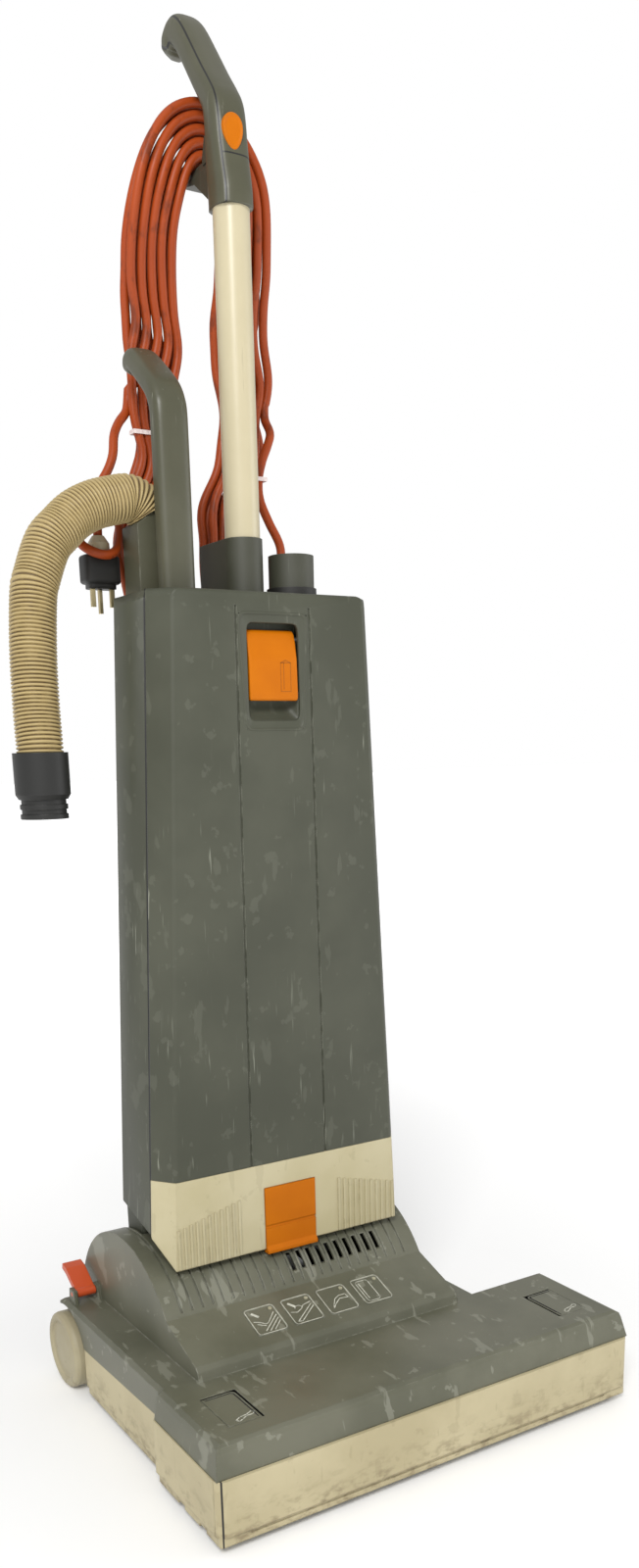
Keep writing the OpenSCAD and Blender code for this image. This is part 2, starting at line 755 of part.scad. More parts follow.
// One release flap, pressed to free the brush, with a groove along its free edges
module release_flap(side) color(grey) {
    x = side * flap_x;
    difference() {
        translate([x, at_y(flap_setback), cover_top - flap_t]) linear_extrude(flap_t)
            flap_plan(side, 0);
        translate([x, at_y(flap_setback), cover_top - 0.8]) linear_extrude(2)
            difference() {
                flap_plan(side, 1.4);
                flap_plan(side, 2.6);
                translate([-flap_w, -flap_l / 2 - 1]) square([2 * flap_w, 9]);
                translate([side > 0 ? flap_w / 2 - 6 : -flap_w / 2 - 1, -flap_l])
                    square([7, 2 * flap_l]);
            }
    }
}

// Plan of a release flap, inset by d, its rear inner corner rounded
module flap_plan(side, d)
    hull() {
        translate([-flap_w / 2 + d, -flap_l / 2 + d]) square([flap_w - 2 * d, 10]);
        translate([side > 0 ? flap_w / 2 - d - 2 : -flap_w / 2 + d, -flap_l / 2 + d])
            square([2, flap_l - 2 * d]);
        translate([-side * (flap_w / 2 - 5), flap_l / 2 - 5]) circle(5 - d, $fn = 32);
    }

module release_flap_left() release_flap(-1);
module release_flap_right() release_flap(1);

// ---------------------------------------------------------------- brush and drive

module brush_core() color(black) {
    bar_x(core_left, core_right, brush_setback, brush_z, brush_core_r);
    bar_x(pulley_x - 1, core_left + 1, brush_setback, brush_z, brush_shaft_r);
    bar_x(core_right - 1, tunnel_right - 1, brush_setback, brush_z, brush_shaft_r);
}

// Two spiral rows of tufts, one turn each
module brush_tufts() color(white)
    for (row = [0, 1], i = [0 : tuft_count - 1]) {
        t = (i + 0.5) / tuft_count;
        place(core_left + t * (core_right - core_left), brush_setback, brush_z)
            rotate([360 * t + 180 * row, 0, 0]) translate([0, 0, brush_core_r - 1])
                cylinder(h = tuft_l, r = tuft_r, $fn = 16);
    }

// Toothed pulley with two flanges
module belt_pulley(r, bore_r, teeth) {
    flange_t = 1.5;
    difference() {
        union() {
            rotate([0, 90, 0]) cylinder(h = pulley_w, r = r - 0.3);
            rotate([0, 90, 0]) cylinder(h = flange_t, r = r + belt_t + 0.6);
            translate([pulley_w - flange_t, 0, 0])
                rotate([0, 90, 0]) cylinder(h = flange_t, r = r + belt_t + 0.6);
        }
        translate([-1, 0, 0]) rotate([0, 90, 0]) cylinder(h = pulley_w + 2, r = bore_r);
        for (i = [0 : teeth - 1])
            rotate([360 * i / teeth, 0, 0])
                translate([flange_t, -belt_pitch / 4, r - 1.5])
                    cube([pulley_w - 2 * flange_t, belt_pitch / 2, 2]);
    }
}

module brush_pulley() color(steel)
    place(pulley_x, brush_setback, brush_z)
        belt_pulley(brush_pulley_r, brush_shaft_r + running, brush_teeth);

module motor_pulley() color(steel)
    place(pulley_x, motor_setback, motor_z)
        belt_pulley(motor_pulley_r, motor_shaft_r + running, motor_teeth);

// Outline of the belt round both pulleys, grown by d from the pulleys' pitch radius
module belt_loop(d)
    hull() {
        translate([brush_setback, brush_z]) circle(brush_pulley_r + d);
        translate([motor_setback, motor_z]) circle(motor_pulley_r + d);
    }

module drive_belt() color(black)
    translate([pulley_x + 2, -head_depth / 2, 0]) rotate([90, 0, 90])
        linear_extrude(belt_w)
            difference() {
                belt_loop(belt_t);
                belt_loop(0);
            }

// Block that holds one end of the brush roller
module brush_bearing(x) color(grey)
    difference() {
        block([x, brush_setback - 16, brush_z - 18], [x + bearing_t, brush_setback + 16, brush_z + 22]);
        bar_x(x - 1, x + bearing_t + 1, brush_setback, brush_z, brush_shaft_r + running);
    }

module brush_bearing_left() brush_bearing(tunnel_left + seat);
module brush_bearing_right() brush_bearing(tunnel_right - bearing_t - seat);

module motor_can() color(steel)
    difference() {
        union() {
            bar_x(motor_left + 10, motor_right - 10, motor_setback, motor_z, motor_r);
            bar_x(motor_left, motor_right, motor_setback, motor_z, motor_r - 8);
        }
        bar_x(motor_left - 1, motor_right + 1, motor_setback, motor_z, motor_shaft_r + running);
        // Cooling slots round the end bell
        for (i = [0 : 7])
            place(motor_left - 1, motor_setback, motor_z) rotate([45 * i, 0, 0])
                translate([0, -3, motor_r - 26]) cube([6, 6, 14]);
    }

module motor_shaft() color(steel)
    bar_x(pulley_x - 1, motor_right + fan_t + 1, motor_setback, motor_z, motor_shaft_r);

// Cooling fan on the motor's right end
module motor_fan() color(black)
    place(motor_right + 0.6, motor_setback, motor_z)
        difference() {
            union() {
                rotate([0, 90, 0]) cylinder(h = 1.6, r = motor_r - 9);
                rotate([0, 90, 0]) cylinder(h = fan_t - 1, r = 9);
                for (i = [0 : 8])
                    rotate([40 * i, 0, 0]) translate([0.5, -0.8, 7])
                        cube([fan_t - 2, 1.6, motor_r - 18]);
            }
            translate([-1, 0, 0]) rotate([0, 90, 0])
                cylinder(h = fan_t + 2, r = motor_shaft_r + running);
        }

// Air duct from the brush tunnel to the spigot on which the body's right arm turns
module suction_duct() color(black) {
    wall = 2;
    low = floor_z + 0.2;
    difference() {
        union() {
            block([duct_x, front_depth - 12, low], [duct_x + duct_w, tilt_setback + 20, low + 32]);
            block([duct_x, tilt_setback - 23, low], [duct_x + duct_w, tilt_setback + 23, tilt_z + 24]);
            bar_x(duct_x + duct_w - 1, right_arm_x + right_arm_t + 2, tilt_setback, tilt_z, spigot_r);
        }
        block([duct_x + wall, front_depth - 20, low + wall],
            [duct_x + duct_w - wall, tilt_setback + 20 - wall, low + 32 - wall]);
        block([duct_x + wall, tilt_setback - 21, low + wall + 1],
            [duct_x + duct_w - wall, tilt_setback + 21, tilt_z + 22]);
        bar_x(duct_x + wall, right_arm_x + right_arm_t + 3, tilt_setback, tilt_z, spigot_r - 3);
    }
}

module pivot_pin() color(steel) {
    bar_x(left_arm_x - 14, left_arm_x + arm_t + 1, tilt_setback, tilt_z, pivot_r);
    bar_x(left_arm_x + arm_t + gap, left_arm_x + arm_t + 3, tilt_setback, tilt_z, pivot_r + 2);
}

// ---------------------------------------------------------------- wheels and pedal

module wheel_axle() color(steel)
    bar_x(-half_w + wheel_face + 1, rear_right + left_step - wheel_face - 1, axle_setback, axle_z(),
        axle_r);

// Rear wheel, its outer face turned to -X, from x = 0 to its width: a closed, slightly domed disc
// inside a raised rim
wheel_face = 5;

module rear_wheel()
    rotate([0, 90, 0]) rotate_extrude($fn = 96)
        difference() {
            polygon([
                [0, 1.2], [wheel_r - 22, 1.8], [wheel_r - 12, 3.2], [wheel_r - 10, 2.8],
                [wheel_r - 8.5, 0.8], [wheel_r - 6.5, 0], [wheel_r - 3.5, 0.5], [wheel_r - 1, 2.4],
                [wheel_r, 5.5], [wheel_r, wheel_w - 3], [wheel_r - 3, wheel_w],
                [wheel_r - 9, wheel_w], [wheel_r - 9, 9], [axle_r + 7, 9], [axle_r + 7, wheel_w - 2],
                [0, wheel_w - 2]
            ]);
            translate([-1, wheel_face]) square([axle_r + running + 1, wheel_w]);
        }

module wheel_left() color(cream) place(-half_w, axle_setback, axle_z()) rear_wheel();

module wheel_right() color(cream)
    place(rear_right + left_step, axle_setback, axle_z()) mirror([1, 0, 0]) rear_wheel();

module front_roller(side) color(black) {
    x = side * roller_x;
    bar_x(x - roller_w / 2, x + roller_w / 2, roller_setback, roller_d / 2, roller_d / 2);
    bar_x(x - roller_w / 2 - gap - 3, x + roller_w / 2 + gap + 3, roller_setback, roller_d / 2,
        roller_pin_r);
}

module front_roller_left() front_roller(-1);
module front_roller_right() front_roller(1);

// Foot pedal that frees the body, its tread raised towards the back
module foot_pedal() color(red) {
    x0 = pedal_x - pedal_w / 2;
    x1 = pedal_x + pedal_w / 2;
    bar_x(x0 - gap - 4, x1 + gap + 4, pedal_setback, pedal_pivot_z, pedal_pin_r);
    bar_x(x0, x1, pedal_setback, pedal_pivot_z, 4.6);
    side_profile(x0, x1, [
        [pedal_setback, pedal_pivot_z - 3], [pedal_setback, pedal_pivot_z + 4],
        [pedal_setback + 24, pedal_pivot_z + 19], [pedal_setback + 34, pedal_pivot_z + 21],
        [pedal_setback + 36, pedal_pivot_z + 15], [pedal_setback + 26, pedal_pivot_z + 12]
    ]);
}

// ---------------------------------------------------------------- body

// Outline of the rear shell at height z, as [x, y], inset by d; front is its open side
function shell_outline(z, d, front) =
    let (h = body_half(z) - d, b = seam_setback + side_depth, r = body_rear - d)
    [
        [body_x - h, at_y(front)], [body_x - h, at_y(b)],
        [body_x - h + rear_bevel_x, at_y(r)], [body_x + h - rear_bevel_x, at_y(r)],
        [body_x + h, at_y(b)], [body_x + h, at_y(front)]
    ];

// Outline of a front cover at height z, inset by d, back to the set-back rear
function cover_outline(z, d, rear) =
    let (h = body_half(z) - d, f = body_setback + d, edge = seam_setback - 2)
    [
        [body_x - h + bevel_x, at_y(f)], [body_x - h, at_y(edge)],
        [body_x - h, at_y(rear)], [body_x + h, at_y(rear)],
        [body_x + h, at_y(edge)], [body_x + h - bevel_x, at_y(f)]
    ];

module rear_shell() color(grey) {
    foot = seam_foot_z;
    chamber_foot = split_z + 3;
    bay_half = body_half(seam_foot_z) - 12;
    difference() {
        union() {
            difference() {
                loft(shell_outline(foot, 0, seam_setback), shell_outline(body_top_z, 0, seam_setback),
                    foot, body_top_z);
                loft(shell_outline(chamber_foot, body_wall, seam_setback - 1),
                    shell_outline(body_top_z - body_wall, body_wall, seam_setback - 1),
                    chamber_foot, body_top_z - body_wall);
                // The foot rises towards the back
                side_profile(body_x - body_foot_half - 1, body_x + body_foot_half + 1, [
                    [seam_setback - 1, foot - 1], [seam_setback, foot],
                    [seam_setback + side_depth, rear_foot_z], [body_rear + 1, rear_foot_z],
                    [body_rear + 1, foot - 1]
                ]);
                // Filter bay behind the lower cover
                block([body_x - bay_half, seam_setback - 1, rear_foot_z + 4],
                    [body_x + bay_half, body_rear - rear_bevel_y, split_z - body_wall]);
            }
            // Seats under the top for the wand and for the accessory socket
            place(body_x - wand_x, wand_setback, body_top_z - wand_seat - 2)
                cylinder(h = wand_seat + 1, r = wand_d / 2 + 2);
            place(body_x + accessory_x, accessory_setback, body_top_z - accessory_well() - 2)
                cylinder(h = accessory_well() + 1, r = accessory_bore_r + 3);
            // Arms down to the pivots
            body_arm(left_arm_x, arm_t, pivot_r + 6);
            body_arm(right_arm_x, right_arm_t, spigot_r + 5);
        }
        place(body_x - wand_x, wand_setback, body_top_z - wand_seat)
            cylinder(h = wand_seat + 10, r = wand_d / 2 - 0.5 + seat);
        place(body_x + accessory_x, accessory_setback, body_top_z - accessory_well())
            cylinder(h = accessory_well() + 10, r = accessory_bore_r + 1.5 + seat);
        bar_x(left_arm_x - 1, left_arm_x + arm_t + 1, tilt_setback, tilt_z, pivot_r + running);
        bar_x(right_arm_x - 1, right_arm_x + right_arm_t + 1, tilt_setback, tilt_z,
            spigot_r + running);
        // Air passage up the right arm into the filter bay
        block([right_arm_x + 4, tilt_setback - 12, tilt_z + spigot_r - 3],
            [right_arm_x + right_arm_t - 4, tilt_setback + 12, rear_foot_z + 5]);
    }
}

function accessory_well() = accessory_depth - accessory_h + 2;

module body_arm(x, t, hub_r) {
    bar_x(x, x + t, tilt_setback, tilt_z, hub_r);
    block([x, tilt_setback - arm_w / 2, tilt_z + hub_r / 2],
        [x + t, tilt_setback + arm_w / 2, rear_foot_z + 1]);
    block([x, tilt_setback - min(hub_r, arm_w / 2) + 1, tilt_z],
        [x + t, tilt_setback + min(hub_r, arm_w / 2) - 1, tilt_z + hub_r]);
}

bag_foot_z = split_z + 11 + seat;
bag_top_z = body_top_z - 62;
bag_left = body_x - body_top_half + body_wall + 10;
bag_right = body_x + body_top_half - 54;

bag_front = seam_setback + 3;
bag_rear = body_rear - 14;

// Outline of the full bag from above, inset by d, its upright edges rounded off
function bag_outline(d) =
    let (l = bag_left + d, r = bag_right - d, f = at_y(bag_front) + d, b = at_y(bag_rear) - d, c = 14)
    [
        [l, f + c], [l, b - c], [l + c / 3, b - c / 3], [l + c, b], [r - c, b],
        [r - c / 3, b - c / 3], [r, b - c], [r, f + c], [r - c / 3, f + c / 3], [r - c, f],
        [l + c, f], [l + c / 3, f + c / 3]
    ];

// Full paper bag, its foot and top drawn in
module filter_bag() color(white) {
    edge = 12;
    loft(bag_outline(edge), bag_outline(0), bag_foot_z, bag_foot_z + edge);
    loft(bag_outline(0), bag_outline(0), bag_foot_z + edge - eps, bag_top_z - edge + eps);
    loft(bag_outline(0), bag_outline(edge), bag_top_z - edge, bag_top_z);
}

// Card collar of the bag with its round mouth
module bag_collar() color("#c8b48a")
    difference() {
        block([bag_left + 20, seam_setback + 6, bag_top_z + gap],
            [bag_right - 4, body_rear - 22, bag_top_z + gap + 3]);
        place((bag_left + bag_right) / 2 + 8, (seam_setback + body_rear) / 2 - 8, bag_top_z - 1)
            cylinder(h = 10, r = 19);
    }

pipe_x = body_x + body_top_half - 24;
pipe_setback = seam_setback + 45;

// Pipe that takes the air from the lower bay up the right side and over the bag
module intake_pipe() color(black) {
    top = body_top_z - 28;
    low = bag_top_z + gap + 3 + seat;
    mouth_x = (bag_left + bag_right) / 2 + 8;
    difference() {
        union() {
            place(pipe_x, pipe_setback, split_z + 3 + seat)
                cylinder(h = top - split_z - 4, r = 15);
            block([mouth_x - 23, (seam_setback + body_rear) / 2 - 31, low],
                [pipe_x + 12, (seam_setback + body_rear) / 2 + 14, top]);
            // Bracket back to the rear shell
            block([mouth_x - 20, (seam_setback + body_rear) / 2, low],
                [mouth_x + 20, body_rear - body_wall - seat, top - 4]);
        }
        place(pipe_x, pipe_setback, split_z) cylinder(h = low - split_z + 6, r = 13);
        block([mouth_x - 20, (seam_setback + body_rear) / 2 - 28, low + 3],
            [pipe_x + 9, (seam_setback + body_rear) / 2 + 11, top - 3]);
        place(mouth_x, (seam_setback + body_rear) / 2 - 8, low - 1) cylinder(h = 6, r = 18);
    }
}

// Flat filter under the bag
module motor_filter() color("#39424a")
    block([bag_left - 4, seam_setback + 4, split_z + 3 + seat],
        [bag_right + 4, body_rear - rear_bevel_y, split_z + 11]);

// Pleated exhaust filter behind the lower cover
module exhaust_filter() color(white) {
    pleat = 8;
    count = 24;
    x0 = body_x - count * pleat / 2;
    front = body_setback + bevel_y - 8;
    foot = rear_foot_z + 4 + seat;
    block([x0, front, foot], [x0 + count * pleat, seam_setback + 40, split_z - 8]);
    for (i = [0 : count - 1])
        pleat_edge(x0 + i * pleat, pleat, front, foot, split_z - 8);
}

module pleat_edge(x, w, s, z0, z1)
    translate([x, at_y(s), z0]) linear_extrude(z1 - z0)
        polygon([[0, eps], [w / 2, -5], [w, eps]]);

// ---------------------------------------------------------------- covers

module front_cover() color(grey) {
    foot = split_z + gap;
    inner_foot = foot + body_wall;
    inner_top = body_top_z - body_wall;
    rear = seam_setback - gap;
    groove_top_half = panel_half - (recess_foot_z - split_z) * 0.012;
    difference() {
        union() {
            difference() {
                loft(cover_outline(foot, 0, rear), cover_outline(body_top_z, 0, rear),
                    foot, body_top_z);
                loft(cover_outline(inner_foot, body_wall, rear + 1),
                    cover_outline(inner_top, body_wall, rear + 1), inner_foot, inner_top);
            }
            // Walls of the latch recess
            recess(body_wall, recess_depth + 3);
        }
        recess(0, recess_depth);
        // Finger pocket at the recess's foot
        place(body_x, body_setback + recess_depth - 6, recess_foot_z + 13)
            scale([1.5, 1, 1]) sphere(r = 11);
        bar_x(body_x - recess_top_half - 2, body_x + recess_top_half + 2,
            body_setback + 7, latch_pin_z, latch_pin_r + running);
        // The two grooves that frame the middle panel
        for (side = [-1, 1])
            panel_groove(side, groove_top_half);
    }
}

module recess(d, depth)
    translate([0, at_y(body_setback - (d > 0 ? 0 : 1)), 0]) rotate([-90, 0, 0])
        linear_extrude(depth + (d > 0 ? 0 : 1)) polygon([
            [body_x - recess_foot_half - d, -recess_foot_z + d],
            [body_x + recess_foot_half + d, -recess_foot_z + d],
            [body_x + recess_top_half + d, -recess_top_z - d],
            [body_x - recess_top_half - d, -recess_top_z - d]
        ]);

module panel_groove(side, top_half)
    translate([body_x, at_y(body_setback) - 1, 0]) rotate([-90, 0, 0])
        linear_extrude(2.2) polygon([
            [side * panel_half, -split_z + 1], [side * (panel_half + 2.2), -split_z + 1],
            [side * (top_half + 2.2), -body_top_z + 12], [side * top_half, -body_top_z + 12]
        ]);

// Latch: its lower end is pulled out, its sloped upper end turns on the pin
module cover_latch() color(orange)
    difference() {
        union() {
            side_profile(body_x - latch_w / 2, body_x + latch_w / 2, [
                [body_setback + 1, latch_top_z - latch_h], [body_setback + 1, latch_top_z - 12],
                [body_setback + 5, latch_top_z], [body_setback + 10, latch_top_z],
                [body_setback + 10, latch_pin_z - 7], [body_setback + 1 + latch_t, latch_pin_z - 9],
                [body_setback + 1 + latch_t, latch_top_z - latch_h]
            ]);
            // Raised lip where the fingers pull
            block([body_x - latch_w / 2 + 4, body_setback - 0.4, latch_top_z - latch_h],
                [body_x + latch_w / 2 - 4, body_setback + 1.5, latch_top_z - latch_h + 5]);
        }
        bar_x(body_x - latch_w, body_x + latch_w, body_setback + 7, latch_pin_z,
            latch_pin_r + running);
    }

module latch_pin() color(steel)
    bar_x(body_x - recess_foot_half - 4, body_x + recess_foot_half + 4, body_setback + 7,
        latch_pin_z, latch_pin_r);

module filter_cover() color(cream) {
    top = split_z;
    rear = seam_setback - gap;
    difference() {
        union() {
            difference() {
                loft(cover_outline(body_foot_z, 0, rear), cover_outline(top, 0, rear),
                    body_foot_z, top);
                loft(cover_outline(body_foot_z + body_wall, body_wall, rear + 1),
                    cover_outline(top - body_wall, body_wall, rear + 1),
                    body_foot_z + body_wall, top - body_wall);
            }
            for (side = [-1, 1], i = [0 : cover_rib_count - 1])
                cover_rib(side, i);
        }
        // The lower edge rises towards the seam
        side_profile(body_x - body_foot_half - 1, body_x + body_foot_half + 1, [
            [body_setback - 5, body_foot_z - 1], [body_setback, body_foot_z],
            [seam_setback, seam_foot_z], [seam_setback + 1, body_foot_z - 1]
        ]);
        // Seat of the clip
        block([body_x - clip_w / 2 - gap, body_setback - 3, body_foot_z - 1],
            [body_x + clip_w / 2 + gap, body_setback + clip_t + 1, clip_top_z + gap]);
    }
}

// A grip rib on the lower cover, taller towards the middle
module cover_rib(side, i) {
    x = body_x + side * (body_half(body_foot_z) - bevel_x - 4 - i * cover_rib_pitch);
    block([x - 1.3, body_setback - 1.3, body_foot_z + 1],
        [x + 1.3, body_setback + 1, split_z - 46 + i * 1.6]);
}

// Clip that holds the lower cover, with a cross groove and a lip at its foot
module filter_clip() color(orange)
    difference() {
        union() {
            block([body_x - clip_w / 2, body_setback - 1, clip_top_z - clip_h],
                [body_x + clip_w / 2, body_setback - 1 + clip_t, clip_top_z]);
            side_profile(body_x - clip_w / 2, body_x + clip_w / 2, [
                [body_setback, clip_top_z - clip_h], [body_setback - 4, clip_top_z - clip_h],
                [body_setback - 4, clip_top_z - clip_h + 3], [body_setback - 1, clip_top_z - clip_h + 7],
                [body_setback, clip_top_z - clip_h + 7]
            ]);
        }
        block([body_x - clip_w / 2 - 1, body_setback - 2, clip_top_z - clip_h * 0.62],
            [body_x + clip_w / 2 + 1, body_setback, clip_top_z - clip_h * 0.62 + 3]);
    }

// ---------------------------------------------------------------- handle

// Socket of the handle tube: round in front, running back as a block
module tube_socket() color(grey)
    difference() {
        union() {
            place(body_x, tube_setback, body_top_z) cylinder(h = socket_h, r = socket_w / 2);
            block([body_x - socket_w / 2, tube_setback, body_top_z],
                [body_x + socket_w / 2, tube_setback + 50, body_top_z + socket_h]);
        }
        place(body_x, tube_setback, body_top_z + 3)
            cylinder(h = socket_h, r = tube_r + seat);
    }

module handle_tube() color(ivory)
    difference() {
        place(body_x, tube_setback, body_top_z + 3.2)
            cylinder(h = grip_foot_z + grip_overlap - body_top_z - 3.2, r = tube_r);
        place(body_x, tube_setback, body_top_z)
            cylinder(h = grip_foot_z + grip_overlap, r = tube_r - tube_wall);
    }

// Middle line of the grip: how far behind the tube's axis, height above the foot, half depth
// and half width
grip_line = [
    [0, 0, 17.2, 1], [0, 6, 17.2, 1], [0.5, 13, 17.2, 1], [2.5, 30, 15.6, 1], [4, 48, 14, 1],
    [5, 64, 13, 1], [7.5, 76, 12, 1], [14, 86.5, 11.3, 0.98], [27, 103, 11, 0.96], [44, 125.5, 11, 0.93],
    [57, 142, 11.4, 0.9], [65, 150, 12, 0.88], [72, 154.5, 12, 0.86], [79, 154, 12, 0.83],
    [85, 149.5, 11.5, 0.8], [88, 145, 9, 0.62], [90, 141.6, 3, 0.2]
];
grip_scale = grip_h / 169;

// Winding of the cord between its two hooks
winding_setback = tube_setback + 45;
hook_lean = 36; // how far the winding's foot stands behind its top
winding_top_z = grip_foot_z - 10;
winding_foot_z = body_top_z - 40;
layer_step = 9.8;
loops_per_layer = 5;
loop_step = 9.6;
outer_half = 69;
top_rise = 38;    // how much higher than half its width a loop's top is
foot_fall = 10;   // how much lower than half its width a loop's foot is
hook_play = 2.2;  // room between the lower hook and the innermost loop
inner_half = outer_half - loops_per_layer * loop_step;
hook_z = winding_top_z + inner_half + top_rise - cord_r - gap;

module grip_solid()
    difference() {
        rod(curve([for (g = grip_line)
                spot([body_x, tube_setback + g[0], grip_foot_z + g[1] * grip_scale])], 4),
            curve([for (g = grip_line) g[2]], 4), curve([for (g = grip_line) g[3] * grip_w / 2], 4),
            up = [1, 0, 0], sides = 28, q = 0.66);
        place(body_x, tube_setback, grip_foot_z - 1)
            cylinder(h = grip_overlap + 1.2, r = tube_r + seat);
        // Seat of the button, and the joint line below it
        place(button_x, tube_setback - 16, button_z()) rotate([-90, 0, 0])
            linear_extrude(14) button_plan(gap);
        block([body_x - 13, tube_setback - 20, button_z() - 17],
            [body_x + 20, tube_setback - 10.2, button_z() - 16]);
        // Flat seat of the cord hook
        block([body_x - grip_w, hook_setback, hook_z - 36], [body_x + grip_w, hook_setback + 9, hook_z + 16]);
    }

function button_z() = grip_foot_z + grip_h * 0.31;
button_x = body_x - 1.5;
hook_setback = tube_setback + 17;
// Where the joint between the grip's two mouldings runs, left of its middle
grip_joint = 12;

module grip_half_space(side)
    translate([body_x - grip_joint - (side > 0 ? 0 : 60), at_y(tube_setback - 60), grip_foot_z - 5])
        cube([60, 240, grip_h + 40]);

module grip_left() color(grey) intersection() { grip_solid(); grip_half_space(-1); }
module grip_right() color(grey) intersection() { grip_solid(); grip_half_space(1); }

// Plan of the egg-shaped button, grown by d, wider towards the top
module button_plan(d)
    hull() {
        translate([0, -4]) circle(9.3 + d);
        translate([0, 7.5]) circle(6 + d);
    }

// Egg-shaped switch button in the grip's front, with a raised rim
module grip_button() color(orange)
    place(button_x, tube_setback - 12, button_z()) rotate([-90, 0, 0])
        difference() {
            linear_extrude(6) button_plan(0);
            translate([0, 0, -1]) linear_extrude(1.9) button_plan(-1.8);
        }

// A hook's plan across: full width, drawn in towards its edge at height z
module hook_bar(s0, s1, z, up, edge_half = 7, half = 11)
    translate([body_x, at_y(s0), z]) rotate([90, 0, 0]) mirror([0, 0, 1])
        linear_extrude(s1 - s0) polygon([
            [-edge_half, 0], [-half, -8 * up], [-half, -40 * up], [half, -40 * up],
            [half, -8 * up], [edge_half, 0]
        ]);

// Hook behind the grip over which the cord is wound
module upper_cord_hook() color(grey) {
    back = winding_setback + layer_step + cord_r + 1;
    intersection() {
        side_profile(body_x - 11, body_x + 11, [
            [hook_setback + seat, hook_z - 34], [hook_setback + seat, hook_z + 14],
            [hook_setback + 5, hook_z + 14], [hook_setback + 10, hook_z], [back + 6, hook_z],
            [back + 6, hook_z - 9], [hook_setback + 26, hook_z - 14]
        ]);
        union() {
            hook_bar(hook_setback, back + 10, hook_z, 1);
            block([body_x - 11, hook_setback, hook_z - 5], [body_x + 11, hook_setback + 10, hook_z + 20]);
        }
    }
    block([body_x - 7, back, hook_z - 5], [body_x + 7, back + 6, hook_z + 34]);
}

// Hook on the back of the body under which the cord is wound
module lower_cord_hook() color(grey) {
    back = winding_setback + hook_lean + layer_step + cord_r + 1;
    foot = winding_foot_z - inner_half - foot_fall + cord_r + hook_play;
    plate_t = 1.2;
    block([body_x - 9, body_rear + seat, foot + 6], [body_x + 9, body_rear + plate_t, foot + 40]);
    intersection() {
        block([body_x - 9, body_rear + seat, foot], [body_x + 9, back + 5, foot + 14]);
        hook_bar(body_rear, back + 10, foot, -1, 4, 9);
    }
    block([body_x - 4, back, foot - 20], [body_x + 4, back + 5, foot + 5]);
}

// ---------------------------------------------------------------- top fittings

// Middle line of the wand: how far behind its axis, height over the body, half depth and half
// width as shares
wand_line = [
    [0, 0.2, 1, 1], [0, 60, 1, 1], [0, 120, 1, 1], [0.5, 143, 1, 1], [3, 152, 1, 1], [8, 160.5, 0.98, 1],
    [16, 168.5, 0.96, 0.99], [30.5, 180.3, 0.95, 0.96], [42, 189, 0.95, 0.93], [48, 192.8, 0.95, 0.9],
    [53, 193.5, 0.92, 0.87], [57, 191, 0.86, 0.82], [60, 187, 0.7, 0.66], [61.4, 184.4, 0.25, 0.25]
];

// Lift-out wand: a straight bar with a drawn-back end, on a round spigot that stands in the body
module wand_handle() color(grey) {
    difference() {
        place(body_x - wand_x, wand_setback, body_top_z - wand_seat + 0.2)
            cylinder(h = wand_seat + 8, r = wand_d / 2 - 0.5);
        place(body_x - wand_x, wand_setback, body_top_z - wand_seat - 1)
            cylinder(h = wand_seat, r = wand_d / 2 - 3);
    }
    rod(curve([for (w = wand_line)
            spot([body_x - wand_x, wand_setback + w[0], body_top_z + w[1] * wand_h / 204])], 4),
        curve([for (w = wand_line) w[2] * wand_d / 2], 4),
        curve([for (w = wand_line) w[3] * wand_w / 2], 4), up = [1, 0, 0], sides = 32, q = 0.62);
}

port_x = body_x - 76;
port_setback = tube_setback + 31.5;
port_top_z = body_top_z + 69;
port_half = 16;
port_slant = 34; // lean of the hose's first stretch from upright

// Port block with a slanted top from which the hose leaves
module hose_port() color(grey)
    translate([0, at_y(port_setback) + port_half, 0]) rotate([90, 0, 0])
        linear_extrude(2 * port_half) polygon([
            [port_x - 17, body_top_z], [port_x + 17, body_top_z],
            [port_x + 17, port_top_z + 17 * tan(port_slant)],
            [port_x - 17, port_top_z - 17 * tan(port_slant)]
        ]);

module accessory_socket() color(grey)
    difference() {
        union() {
            place(body_x + accessory_x, accessory_setback, body_top_z + 9)
                cylinder(h = accessory_h - 9, r = accessory_r);
            place(body_x + accessory_x, accessory_setback, body_top_z - accessory_well() + 0.2)
                cylinder(h = accessory_well() + 10, r = accessory_bore_r + 1.5);
        }
        place(body_x + accessory_x, accessory_setback, body_top_z + accessory_h - accessory_depth)
            cylinder(h = accessory_depth + 1, r = accessory_bore_r);
    }

// Black ring with a tab under the accessory socket
module socket_ring() color(black)
    difference() {
        union() {
            place(body_x + accessory_x, accessory_setback, body_top_z)
                cylinder(h = 9, r = accessory_r + 2);
            place(body_x + accessory_x, accessory_setback, body_top_z)
                translate([accessory_r - 2, -7, 0]) cube([11, 14, 5]);
        }
        place(body_x + accessory_x, accessory_setback, body_top_z - 1)
            cylinder(h = 12, r = accessory_bore_r + 1.5 + seat);
    }

gland_x = body_x + 61;
gland_setback = tube_setback + 38;
gland_h = 14;

module cord_gland() color(black)
    difference() {
        union() {
            place(gland_x, gland_setback, body_top_z) cylinder(h = 5, r = 9);
            place(gland_x, gland_setback, body_top_z) cylinder(h = gland_h, r = 6.5);
        }
        place(gland_x, gland_setback, body_top_z + gland_h - 6) cylinder(h = 10, r = cord_r + 0.1);
    }

// ---------------------------------------------------------------- hose

